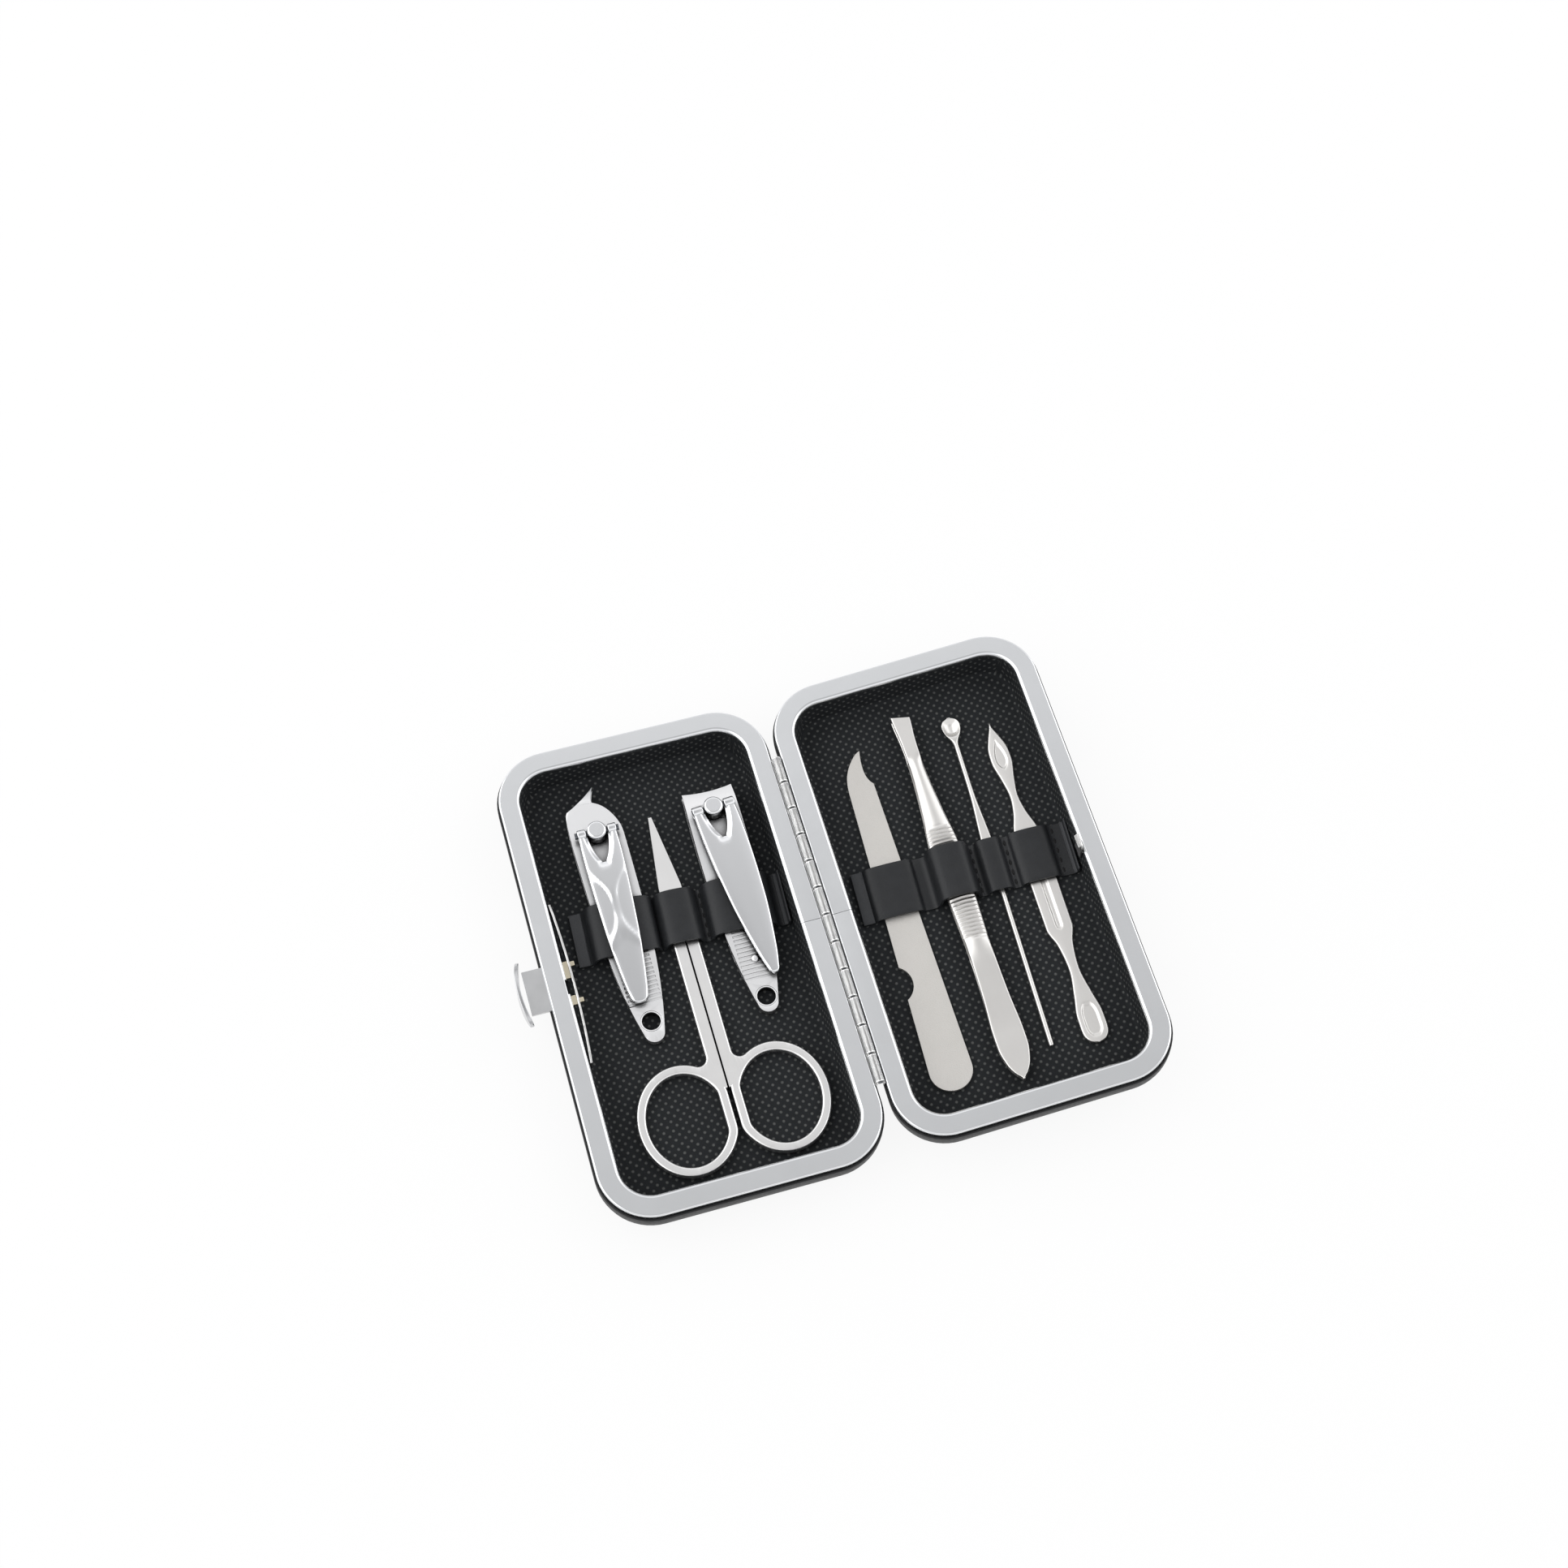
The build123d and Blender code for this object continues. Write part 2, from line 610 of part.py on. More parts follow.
def scissor_screw():
    shaft = Pos(0, 0, blade_layer + screw_clearance) * Cylinder(screw_radius, 2 * blade_layer)
    head = Pos(0, 0, 2 * blade_layer + screw_clearance + 0.2) * Cylinder(screw_head_radius, 0.4)
    return shaft + head


# ---- flat tools, each about its own middle, +y towards the top of the lid

def nail_file():
    """Tapered blank with a hooked cleaning point, a round notch in one side and a round end."""
    reach = file_half_length
    end = file_end_radius - reach
    hook = reach - 4.65
    tip, heel = (2.15, hook), (3.0, hook - 8.6)
    point = Spline(tip, (1.7, hook - 3.3), heel, tangents=[(-0.2, -1), (1, -1)])
    right = Line(heel, (file_end_radius, end))
    left = Line((-file_end_radius, end), (-2.85, hook - 9.1))
    back = Spline(left @ 1, (-1.9, hook - 4.6), (0.3, hook - 1.3), tip, tangents=[(0.05, 1), (1, 0.35)])
    round_end = ThreePointArc(right @ 1, (0, -reach), left @ 0)
    outline = make_face([point, right, round_end, left, back])
    outline -= Pos(-file_notch_radius - 1.95, -0.4 * reach) * Circle(file_notch_radius)
    return slab(outline, 0, file_thickness)


def tweezer_plan():
    """Outline of an arm: slanted tip, slim neck, broad ribbed grip, waist and pointed paddle."""
    top = tweezer_half_length
    right = Spline((2.1, top - 1.0), (1.6, top - 9.2), (1.75, 0.642 * top), (3.25, 0.232 * top), (2.6, -0.31 * top),
                   (3.3, 8.2 - top), (0.25, 0.2 - top))
    left = Spline((-2.1, top), (-1.6, top - 9.2), (-1.75, 0.642 * top), (-3.25, 0.232 * top), (-2.6, -0.31 * top),
                  (-3.3, 8.2 - top), (-0.25, 0.2 - top))
    return make_face([right, Line(right @ 1, left @ 1), left, Line(left @ 0, right @ 0)])


def tweezer_arm(upper):
    """One bowed arm. Both lie flat together at the weld and stand apart at the tips."""
    middle = tweezer_bow + tweezer_sheet
    top = tweezer_half_length + 1
    tip = tweezer_tip_gap / 2
    weld = 11.2 - tweezer_half_length
    grip_low, grip_high = -0.265 * tweezer_half_length, 0.31 * tweezer_half_length
    inner = [(0, -top), (0, weld), (tweezer_bow, grip_low), (tweezer_bow, grip_high), (tip, top - 10.2), (tip, top)]
    points = [(y, h) for h, y in inner] + [(y, h + tweezer_sheet) for h, y in reversed(inner)]
    arm = extrude(side_profile(points), 8, both=True) & slab(tweezer_plan(), -1, 6)
    if upper:
        for number in range(28):
            z = tweezer_bow + tweezer_sheet
            arm -= Pos(0, grip_high - number * 0.95, z) * Box(9, 0.4, 2 * rib_depth)
    else:
        arm = mirror(arm, about=Plane.XY)
    return Pos(0, 0, middle) * arm


def ear_pick():
    """Slim rod with a flattened grip and a small scoop at the top."""
    reach = pick_half_length
    rod = Pos(0, -2, pick_radius) * Rot(90, 0, 0) * Cylinder(pick_radius, 2 * reach - 6.7)
    grip = Pos(0, 8, pick_radius) * spindle(9, pick_grip_half_width)
    grip &= block((-5, 5), (-5, 20), (pick_radius * 0.25, pick_radius * 1.75))
    bowl = Pos(0, reach - 2.25, 0) * extrude(Ellipse(spoon_half_width, 3.7), 1.5)
    bowl = fillet(bowl.edges().group_by(Axis.Z)[0], 0.7)
    hollow_radius = 5.0
    hollow = Pos(0, reach - 1.95, hollow_radius + spoon_wall) * Sphere(hollow_radius)
    return (rod + grip + bowl) - hollow


def pusher_plan():
    """Spear at the top, broad bar in the middle, narrow necks and a round-ended spoon."""
    top = pusher_half_length
    right = Spline((0.05, top), (1.55, top - 4), (2.35, top - 9.3), (0.95, 0.53 * top), (2.75, 0.296 * top),
                   tangents=[(0.4, -1), (0.7, -1)])
    bar = Line(right @ 1, (2.95, -0.3 * top))
    neck = Spline(bar @ 1, (1.75, -0.407 * top), (1.15, -0.56 * top), (2.0, 11.4 - top), (2.85, 6.3 - top),
                  (2.85, 2.6 - top), tangents=[(-0.4, -1), (0, -1)])
    sides = [right, bar, neck]
    mirrored = [mirror(edge, about=Plane.YZ) for edge in sides]
    end = ThreePointArc(neck @ 1, (0, -top), mirrored[2] @ 1)
    return make_face(sides + [end] + mirrored + [Line(mirrored[0] @ 0, right @ 0)])


def cuticle_pusher():
    """Pressed bar with a leaf-shaped recess, a round-ended groove and a spoon hollow in its face."""
    bar = slab(pusher_plan(), 0, pusher_thickness)
    upper = pusher_half_length - 4
    leaf = make_face([ThreePointArc((0, upper), (1.2, upper - 4.6), (0, upper - 7.8)),
                      ThreePointArc((0, upper - 7.8), (-1.2, upper - 4.6), (0, upper))])
    groove = Pos(0, -1.3) * SlotOverall(22, 1.5, rotation=90)
    spoon = Pos(0, 5.4 - pusher_half_length) * SlotOverall(8.0, 3.4, rotation=90)
    return bar - slab(leaf + groove + spoon, pusher_thickness - recess_depth, pusher_thickness + 1)


# ---- the pieces in their places

def at_post(place, shape, lean):
    """A clipper piece in the base's tray, turned about its post."""
    return in_base_tray(place, Rot(0, 0, lean) * shape)


def in_base_tray(place, shape):
    """A tool of the base, lying over the lining, as it is seen from above."""
    return Pos(hinge_x - place[0], place[1], half_height + tool_floor) * shape


def in_lid_tray(place, shape):
    return in_lid(Pos(place[0], place[1], tool_floor) * Rot(0, 0, -place[2]) * shape)


def clipper(name, place, outline, lever_sizes):
    """The six pieces of one clipper."""
    return {
        name + "_lower_arm": at_post(place, lower_arm(outline), place[2]),
        name + "_eyelet": at_post(place, eyelet(), place[2]),
        name + "_upper_arm": at_post(place, upper_arm(outline), place[2]),
        name + "_post": at_post(place, post(), place[3]),
        name + "_cross_pin": at_post(place, cross_pin(), place[3]),
        name + "_lever": at_post(place, lever(*lever_sizes), place[3]),
    }


def scissors():
    """Both halves and the screw. The left half lies below at the screw."""
    half = scissor_half()
    left = mirror(half, about=Plane.YZ)
    right = Pos(0, 0, 2 * blade_layer) * Rot(0, 180, 0) * mirror(half, about=Plane.YZ)
    return {
        "scissors_left_half": in_base_tray(scissors_at, left),
        "scissors_right_half": in_base_tray(scissors_at, right),
        "scissors_screw": in_base_tray(scissors_at, scissor_screw()),
    }


def base_strap():
    """Strap over the arms of both clippers and the scissors; the loops over the arms fall towards the tails."""
    faces = []
    for end in (1, -1):
        y = base_strap_y + end * strap_width / 2
        rows = []
        for place in (oblique_clipper_at, scissors_at, straight_clipper_at):
            if place is scissors_at:
                low, high = place[0] - shank_half_width, place[0] + shank_half_width
                rows.append(loop(low - skew_room, high + skew_room, 2 * blade_layer + floor_gap + 0.9, 0.4))
            else:
                along = y - place[1]
                rise = arm_rise * (along - arm_spring_start) / (-3 - arm_spring_start)
                height = 2 * arm_thickness + rise + floor_gap + strap_clearance + 0.1
                lean_room = skew_room / 2 if place is oblique_clipper_at else 0
                rows.append(loop(place[0] - arm_half_width - lean_room + 0.15,
                                 place[0] + arm_half_width - 0.15 + skew_room, height))
        middle = strap_thickness / 2
        oblique, small, straight = rows
        path = [(opening_near + strap_wall_room, middle)] + straight + small + oblique
        path.append((oblique[-1][0] + tab_length, middle))
        shifted = [(x - half_middle, z) for x, z in path]
        faces.append(Pos(0, end * strap_width / 2, 0) * strap_section(shifted))
    return set_strap(loft(faces, ruled=True), base_strap_y, -strap_skew)


def lid_strap():
    """Strap sewn into one loop for each of the lid's four tools."""
    middle = strap_thickness / 2
    thin = floor_gap + file_thickness + 0.35
    loops = [
        loop(file_at[0] - 4.2, file_at[0] + 4.2, thin),
        loop(tweezers_at[0] - 3.3, tweezers_at[0] + 3.3,
             floor_gap + 2 * (tweezer_bow + tweezer_sheet) + 0.3, 0.5),
        loop(pick_at[0] - 1.5, pick_at[0] + 1.5, floor_gap + 2 * pick_radius + 0.3, 0.8),
        loop(pusher_at[0] - 3.1, pusher_at[0] + 3.1, floor_gap + pusher_thickness + 0.15),
    ]
    path = [(opening_near + strap_wall_room, middle)]
    for row in loops:
        path += row
    path.append((opening_far - strap_wall_room, middle))
    shifted = [(x - half_middle, z) for x, z in path]
    return set_strap(extrude(strap_section(shifted), strap_width / 2, both=True), lid_strap_y, strap_skew)


def build():
    """Every piece of the open case by name, at rest."""
    cover, core, padding, lining, rim = half_cover(), half_core(), half_padding(), half_lining(), half_rim()
    passage = clasp_passage()
    pieces = {
        "base_cover": in_base(cover),
        "base_core": in_base(core - passage),
        "base_padding": in_base(padding),
        "base_lining": in_base(lining),
        "base_rim": in_base(rim - passage - clasp_notch()),
        "base_strap": in_base(base_strap()),
        "base_hinge_leaf": in_base(hinge_leaf(1)),
        "hinge_pin": in_base(hinge_pin()),
        "clasp_spring": in_base(clasp_spring()),
        "clasp_tab": in_base(clasp_tab()),
        "clasp_thumb_plate": in_base(clasp_thumb_plate()),
        "lid_cover": in_lid(cover),
        "lid_core": in_lid(core),
        "lid_padding": in_lid(padding),
        "lid_lining": in_lid(lining),
        "lid_rim": in_lid(rim),
        "lid_strap": in_lid(lid_strap()),
        "lid_hinge_leaf": in_lid(hinge_leaf(0)),
        "clasp_catch": in_lid(clasp_catch()),
        "nail_file": in_lid_tray(file_at, nail_file()),
        "tweezers_lower_arm": in_lid_tray(tweezers_at, tweezer_arm(False)),
        "tweezers_upper_arm": in_lid_tray(tweezers_at, tweezer_arm(True)),
        "ear_pick": in_lid_tray(pick_at, ear_pick()),
        "cuticle_pusher": in_lid_tray(pusher_at, cuticle_pusher()),
    }
    pieces.update(clipper("oblique_clipper", oblique_clipper_at, oblique_clipper_plan(), (4.35, 3.75, 1.9, True)))
    pieces.update(clipper("straight_clipper", straight_clipper_at, straight_clipper_plan(), (4.8, 4.05, 1.5, False)))
    pieces.update(scissors())
    return pieces


os.makedirs("parts", exist_ok=True)
for name, shape in build().items():
    export_step(shape, "parts/" + name + ".step")
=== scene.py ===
import bpy
import bmesh
import math
from mathutils import Matrix, Vector


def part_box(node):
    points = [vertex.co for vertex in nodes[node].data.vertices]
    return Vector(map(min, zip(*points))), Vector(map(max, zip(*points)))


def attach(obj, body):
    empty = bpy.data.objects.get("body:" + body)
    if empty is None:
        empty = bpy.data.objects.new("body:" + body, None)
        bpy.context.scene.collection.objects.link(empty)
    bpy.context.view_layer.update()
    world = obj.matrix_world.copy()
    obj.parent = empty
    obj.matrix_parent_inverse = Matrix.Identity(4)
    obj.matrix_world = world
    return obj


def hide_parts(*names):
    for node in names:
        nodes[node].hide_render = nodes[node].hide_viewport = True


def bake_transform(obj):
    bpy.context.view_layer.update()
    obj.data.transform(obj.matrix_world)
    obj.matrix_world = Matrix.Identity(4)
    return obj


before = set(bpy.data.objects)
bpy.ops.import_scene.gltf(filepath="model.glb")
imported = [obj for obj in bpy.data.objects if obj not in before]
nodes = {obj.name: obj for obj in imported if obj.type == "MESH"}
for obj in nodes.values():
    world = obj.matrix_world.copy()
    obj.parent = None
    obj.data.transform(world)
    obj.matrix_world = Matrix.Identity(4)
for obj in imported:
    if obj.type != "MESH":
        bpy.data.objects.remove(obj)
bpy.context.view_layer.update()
mm = 0.001
print("frame loaded,", len(nodes), "nodes")

# each half is modelled in its own frame: x out from the hinge, y along it, z up from the top of the rim
case = dict(hingeX=31.25, hingeZ=12.1, rimTop=12.0, tilt=6.0, rimGap=0.1,
            near=1.1, far=61.4, halfLength=54.0, cornerRadius=11.5, rimWidth=4.65, rimDepth=1.7,
            depth=12.0, trayDepth=7.95, draft=5.0)
trayMiddle = (case["near"] + case["far"]) / 2


# shader wiring

class Wire:
    def __init__(self, board, socket):
        self.board, self.socket = board, socket

    def join(self, operation, other, flip=False):
        first, second = (other, self) if flip else (self, other)
        return self.board.math(operation, first, second)

    def __add__(self, other):
        return self.join("ADD", other)

    __radd__ = __add__

    def __sub__(self, other):
        return self.join("SUBTRACT", other)

    def __rsub__(self, other):
        return self.join("SUBTRACT", other, True)

    def __mul__(self, other):
        return self.join("MULTIPLY", other)

    __rmul__ = __mul__

    def __truediv__(self, other):
        return self.join("DIVIDE", other)

    def __gt__(self, other):
        return self.join("GREATER_THAN", other)


class Board:
    def __init__(self, name, tree=None, **fixed):
        self.tree = tree
        if tree:
            return
        self.material = bpy.data.materials.new(name)
        self.material.use_nodes = True
        self.tree = self.material.node_tree
        self.shader = self.tree.nodes["Principled BSDF"]
        for key, value in fixed.items():
            self.shader.inputs[key.replace("_", " ")].default_value = value

    def node(self, kind, settings={}, sockets={}):
        made = self.tree.nodes.new(kind)
        for key, value in settings.items():
            if key == "stops":
                ramp = made.color_ramp
                while len(ramp.elements) < len(value):
                    ramp.elements.new(0.5)
                for element, (place, shade) in zip(ramp.elements, value):
                    element.position, element.color = place, (*shade, 1)
            else:
                setattr(made, key, value)
        for key, value in sockets.items():
            if isinstance(value, Wire):
                self.tree.links.new(value.socket, made.inputs[key])
            else:
                made.inputs[key].default_value = value
        return {out.name: Wire(self, out) for out in reversed(made.outputs)}

    def place(self, scale=(1, 1, 1)):
        spot = self.node("ShaderNodeTexCoord")["Object"]
        return self.node("ShaderNodeMapping", {}, {"Vector": spot, "Scale": scale})["Vector"]

    def math(self, operation, first, second=0.0):
        return self.node("ShaderNodeMath", {"operation": operation}, {0: first, 1: second})["Value"]

    def noise(self, where, scale, detail=3.0, rough=0.5):
        sockets = {"Vector": where, "Scale": scale, "Detail": detail, "Roughness": rough}
        return self.node("ShaderNodeTexNoise", {}, sockets)["Fac"]

    def blend(self, mask, low, high):
        made = self.tree.nodes.new("ShaderNodeMix")
        made.data_type = "RGBA"
        for slot, value in ((0, mask), (6, low), (7, high)):
            if isinstance(value, Wire):
                self.tree.links.new(value.socket, made.inputs[slot])
            else:
                made.inputs[slot].default_value = value if slot == 0 else (*value, 1)
        return Wire(self, made.outputs[2])

    def feed(self, key, value):
        self.tree.links.new(value.socket, self.shader.inputs[key])

    def bump(self, height, distance):
        made = self.node("ShaderNodeBump", {}, {"Height": height, "Distance": distance, "Strength": 1.0})
        self.feed("Normal", made["Normal"])


def tint(shade, factor):
    return tuple(channel * factor for channel in shade)


# metals

def metalFinish(name, shade, rough, grain, depth=1e-6, mottle=0.05, spread=0.12,
                paintedShade=0.16, reach=0.0045, shut=0.30, clear=0.90):
    board = Board(name, Metallic=1.0)
    scratches = board.noise(board.place(grain), 1.0, 4.0, 0.6)
    clouds = board.noise(board.place(), 90.0, 3.0, 0.55)
    plain = board.blend(clouds, tint(shade, 1 - mottle), tint(shade, 1 + mottle))
    # painted shade: the metal is darkened in corners and crevices, wherever ambient occlusion finds a surface
    # close by
    openness = board.node("ShaderNodeAmbientOcclusion", {"samples": 12}, {"Distance": reach})["AO"]
    paintedShadeRange = {"Value": openness, "From Min": shut, "From Max": clear}
    mask = board.node("ShaderNodeMapRange", {}, paintedShadeRange)["Result"]
    board.feed("Base Color", board.blend(mask, tint(shade, paintedShade), plain))
    board.feed("Roughness", rough + (scratches - 0.5) * spread + (clouds - 0.5) * spread * 0.6)
    board.bump(scratches, depth)
    return board.material


evenGrain, fineGrain, longGrain = (700, 700, 700), (900, 900, 900), (3600, 300, 3600)
# each metal below gets painted shade in its corners, reach sets how close a neighbouring surface must be
rimFinish = metalFinish("rimMetal", (0.90, 0.915, 0.93), 0.22, evenGrain, depth=3e-7, mottle=0.02,
                        spread=0.05, paintedShade=0.4, reach=0.001)
hingeFinish = metalFinish("hingeSteel", (0.95, 0.95, 0.94), 0.3, fineGrain, depth=2e-7, mottle=0.02,
                          spread=0.04, paintedShade=0.5, reach=0.0003)
plateFinish = metalFinish("thumbPlate", (0.64, 0.645, 0.655), 0.2, evenGrain, depth=3e-7, mottle=0.02,
                          spread=0.04, reach=0.001)
springFinish = metalFinish("springSteel", (0.86, 0.855, 0.84), 0.30, (300, 4000, 4000))
chromeFinish = metalFinish("clipperChrome", (0.97, 0.972, 0.978), 0.34, fineGrain, depth=4e-7, mottle=0.02,
                           spread=0.05, paintedShade=0.04, reach=0.010, shut=0.32, clear=0.68)
leverFinish = metalFinish("leverChrome", (0.96, 0.97, 0.985), 0.16, fineGrain, depth=4e-7, mottle=0.02,
                          spread=0.06)
steelFinish = metalFinish("toolSteel", (0.83, 0.815, 0.79), 0.36, longGrain, depth=1e-7, spread=0.05,
                          reach=0.0012)
scissorFinish = metalFinish("scissorSteel", (0.98, 0.975, 0.965), 0.30, longGrain, depth=2e-7, spread=0.05,
                            reach=0.0015)
pinFinish = metalFinish("darkPin", (0.20, 0.21, 0.23), 0.22, fineGrain)


def claspTabFinish(rimInside=-26.6 * mm):
    # plated tab whose legs, inside the rim, are brass
    board = Board("claspTab", Metallic=1.0)
    across = board.node("ShaderNodeSeparateXYZ", {}, {"Vector": board.place()})["X"]
    clouds = board.noise(board.place(), 300.0, 3.0, 0.55)
    plated = board.blend(clouds, (0.62, 0.625, 0.63), (0.70, 0.705, 0.71))
    brass = board.blend(clouds, (0.62, 0.56, 0.42), (0.76, 0.69, 0.54))
    board.feed("Base Color", board.blend(across > rimInside, plated, brass))
    board.feed("Roughness", 0.24 + clouds * 0.1)
    board.bump(clouds, 1e-6)
    return board.material


claspFinish = claspTabFinish()


def fileFinish():
    board = Board("fileSteel", Metallic=0.85)
    grit = board.node("ShaderNodeTexVoronoi", {}, {"Vector": board.place(), "Scale": 5200.0})["Distance"]
    clouds = board.noise(board.place(), 140.0, 4.0, 0.6)
    board.feed("Base Color", board.blend(clouds, (0.63, 0.615, 0.585), (0.70, 0.68, 0.65)))
    board.feed("Roughness", 0.42 + grit * 0.2 + clouds * 0.06)
    board.bump(grit, 2e-5)
    return board.material


gritFinish = fileFinish()


# cloths and leathers

def leatherFinish(name, dark, light, rough, pore, depth):
    board = Board(name, Specular_IOR_Level=0.36)
    where = board.place()
    cells = board.node("ShaderNodeTexVoronoi", {"feature": "SMOOTH_F1"},
                       {"Vector": where, "Scale": pore, "Smoothness": 0.35})["Distance"]
    wide = board.noise(where, pore * 0.12, 4.0, 0.6)
    fine = board.noise(where, pore * 2.2, 2.0, 0.5)
    board.feed("Base Color", board.blend(wide, dark, light))
    board.feed("Roughness", rough + cells * 0.12 + (wide - 0.5) * 0.16)
    board.bump(cells * 0.75 + fine * 0.25, depth)
    return board.material


coverFinish = leatherFinish("coverLeather", (0.0055, 0.00605, 0.0066), (0.011, 0.01155, 0.01265),
                            rough=0.38, pore=1500.0, depth=6e-5)
strapFinish = leatherFinish("strapLeather", (0.013, 0.014, 0.0155), (0.022, 0.0235, 0.026),
                            rough=0.36, pore=3000.0, depth=2.5e-5)
tabFinish = leatherFinish("strapEnd", (0.030, 0.032, 0.035), (0.048, 0.050, 0.054),
                          rough=0.48, pore=3000.0, depth=3e-5)


def liningFinish(name):
    dots = dict(pitch=2.06 * mm, radius=0.205, soft=0.13)
    board = Board(name, Specular_IOR_Level=0.25)
    split = board.node("ShaderNodeSeparateXYZ", {}, {"Vector": board.node("ShaderNodeTexCoord")["UV"]})
    across, along = split["X"] / dots["pitch"], split["Y"] / dots["pitch"]

    def lattice(shift):
        u, v = (board.math("FRACT", spot + shift) - 0.5 for spot in (across, along))
        return board.math("SQRT", u * u + v * v)

    near = board.math("MINIMUM", lattice(0.0), lattice(0.5))
    mask = board.node("ShaderNodeMapRange", {"interpolation_type": "SMOOTHSTEP"},
                      {"Value": near, "From Min": dots["radius"] - dots["soft"], "From Max": dots["radius"],
                       "To Min": 1.0, "To Max": 0.0})["Result"]
    wear = board.noise(board.place(), 900.0, 3.0, 0.6)
    weave = board.noise(board.place(), 6000.0, 2.0, 0.5)
    cloth = board.blend(wear, (0.0085, 0.0100, 0.0112), (0.0150, 0.0170, 0.0190))
    spot = board.blend(wear, (0.050, 0.053, 0.052), (0.105, 0.107, 0.104))
    board.feed("Base Color", board.blend(mask, cloth, spot))
    board.feed("Roughness", 0.72 + weave * 0.2 - mask * 0.12)
    board.bump(mask * 0.8 + weave * 0.35, 5e-5)
    return board.material


dottedFinish = liningFinish("dottedLining")
threadFinish = leatherFinish("sewingThread", (0.004, 0.004, 0.0045), (0.010, 0.010, 0.011),
                             rough=0.7, pore=4200.0, depth=4e-5)
boardFinish = leatherFinish("coreBoard", (0.05, 0.05, 0.05), (0.09, 0.09, 0.09),
                            rough=0.6, pore=900.0, depth=2e-5)
foamFinish = leatherFinish("softFoam", (0.30, 0.30, 0.29), (0.42, 0.42, 0.40),
                           rough=0.85, pore=1400.0, depth=8e-5)
print("finishes made")


# modelling helpers

def setMode(name):
    bpy.ops.object.mode_set(mode=name)


def selectMesh(action):
    bpy.ops.mesh.select_all(action=action)


def clearSelection():
    if bpy.context.object and bpy.context.object.mode != "OBJECT":
        setMode("OBJECT")
    bpy.ops.object.select_all(action="DESELECT")


def startShape(addShape, name, **sizes):
    clearSelection()
    addShape(**sizes)
    piece = bpy.context.object
    piece.name = name
    piece.data.name = name
    return piece


def choose(piece):
    clearSelection()
    piece.select_set(True)
    bpy.context.view_layer.objects.active = piece


def applyAll(piece):
    choose(piece)
    bpy.ops.object.transform_apply(location=True, rotation=True, scale=True)
    for modifier in list(piece.modifiers):
        bpy.ops.object.modifier_apply(modifier=modifier.name)


def bevelEdges(piece, width, segments, angle):
    # rounds the edges that are sharper than the angle
    rounding = piece.modifiers.new("rounding", "BEVEL")
    rounding.width, rounding.segments, rounding.angle_limit = width * mm, segments, math.radians(angle)
    applyAll(piece)


def linked(name, data):
    made = bpy.data.objects.new(name, data)
    bpy.context.scene.collection.objects.link(made)
    return made


def twinOf(piece, matrix):
    twin = linked(piece.name, piece.data.copy())
    twin.data.transform(matrix)
    return twin


def joinAll(main, others):
    choose(main)
    for other in others:
        other.select_set(True)
    bpy.ops.object.join()
    return main


def pickParts(piece, kind, test):
    # selects the faces or edges that pass the test, in edit mode
    selectMesh("DESELECT")
    shape = bmesh.from_edit_mesh(piece.data)
    for part in dict(faces=shape.faces, edges=shape.edges)[kind]:
        if test(part):
            part.select = True
    shape.select_flush(True)
    bmesh.update_edit_mesh(piece.data)


def insetCaps(piece, width, test=lambda face: len(face.verts) > 4):
    # a smaller ring on the flat ends of a cylinder, left in edit mode
    setMode("EDIT")
    pickParts(piece, "faces", test)
    bpy.ops.mesh.inset(thickness=width * mm)


def orderAlong(piece, axis):
    # number of each row of points along an axis, by its rounded place
    spots = {round(vert.co[axis], 5) for vert in piece.data.vertices}
    return {spot: number for number, spot in enumerate(sorted(spots))}


def smooth(piece, angle=40):
    choose(piece)
    bpy.ops.object.shade_smooth_by_angle(angle=math.radians(angle))


def halfMatrix(side):
    hinge = Matrix.Translation((case["hingeX"] * mm, 0, 0))
    if side == "base":
        return hinge @ Matrix.Translation((0, 0, case["rimTop"] * mm)) @ Matrix.Diagonal((-1, 1, 1, 1))
    tilt = Matrix.Rotation(-math.radians(case["tilt"]), 4, "Y")
    lift = Matrix.Translation((0, 0, case["hingeZ"] * mm)) @ tilt
    return hinge @ lift @ Matrix.Translation((0, 0, -case["rimGap"] * mm))


def putInHalf(piece, side):
    piece.data.transform(halfMatrix(side))
    if side == "base":
        piece.data.flip_normals()
    piece.data.update()


def dress(piece, finish, body, slotName, *replaced):
    piece.data.materials.clear()
    piece.data.materials.append(finish)
    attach(piece, body)
    if replaced:
        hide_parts(*replaced)


# covers

cover = dict(proud=0.45, bottomRound=8.3, skin=0.55, lipBevel=(0.22, 3, 60), turnIn=1.3)


def halfOutline(name, width, length, radius, segments):
    # flat outline with rounded corners at the underside of the rim, left in edit mode
    piece = startShape(bpy.ops.mesh.primitive_plane_add, name, size=1,
                       location=(trayMiddle * mm, 0, -case["rimDepth"] * mm))
    piece.scale = (width * mm, length * mm, 1)
    bpy.ops.object.transform_apply(location=True, scale=True)
    setMode("EDIT")
    selectMesh("SELECT")
    bpy.ops.mesh.bevel(offset=radius * mm, segments=segments, affect="VERTICES")
    return piece


def extrudeDown(depth):
    bpy.ops.mesh.extrude_region_move(TRANSFORM_OT_translate={"value": (0, 0, -depth * mm)})


def roundFloor(piece, depth, radius, segments, inside):
    # the flat face that the extrusion left at the rim goes first
    top = (-case["rimDepth"] - 0.01) * mm
    pickParts(piece, "faces", lambda face: all(vert.co.z > top for vert in face.verts))
    bpy.ops.mesh.delete(type="ONLY_FACE")
    pickParts(piece, "edges", lambda edge: all(vert.co.z < (-depth + 0.01) * mm for vert in edge.verts))
    bpy.ops.mesh.bevel(offset=radius * mm, segments=segments, affect="EDGES")
    selectMesh("SELECT")
    bpy.ops.mesh.normals_make_consistent(inside=inside)
    setMode("OBJECT")


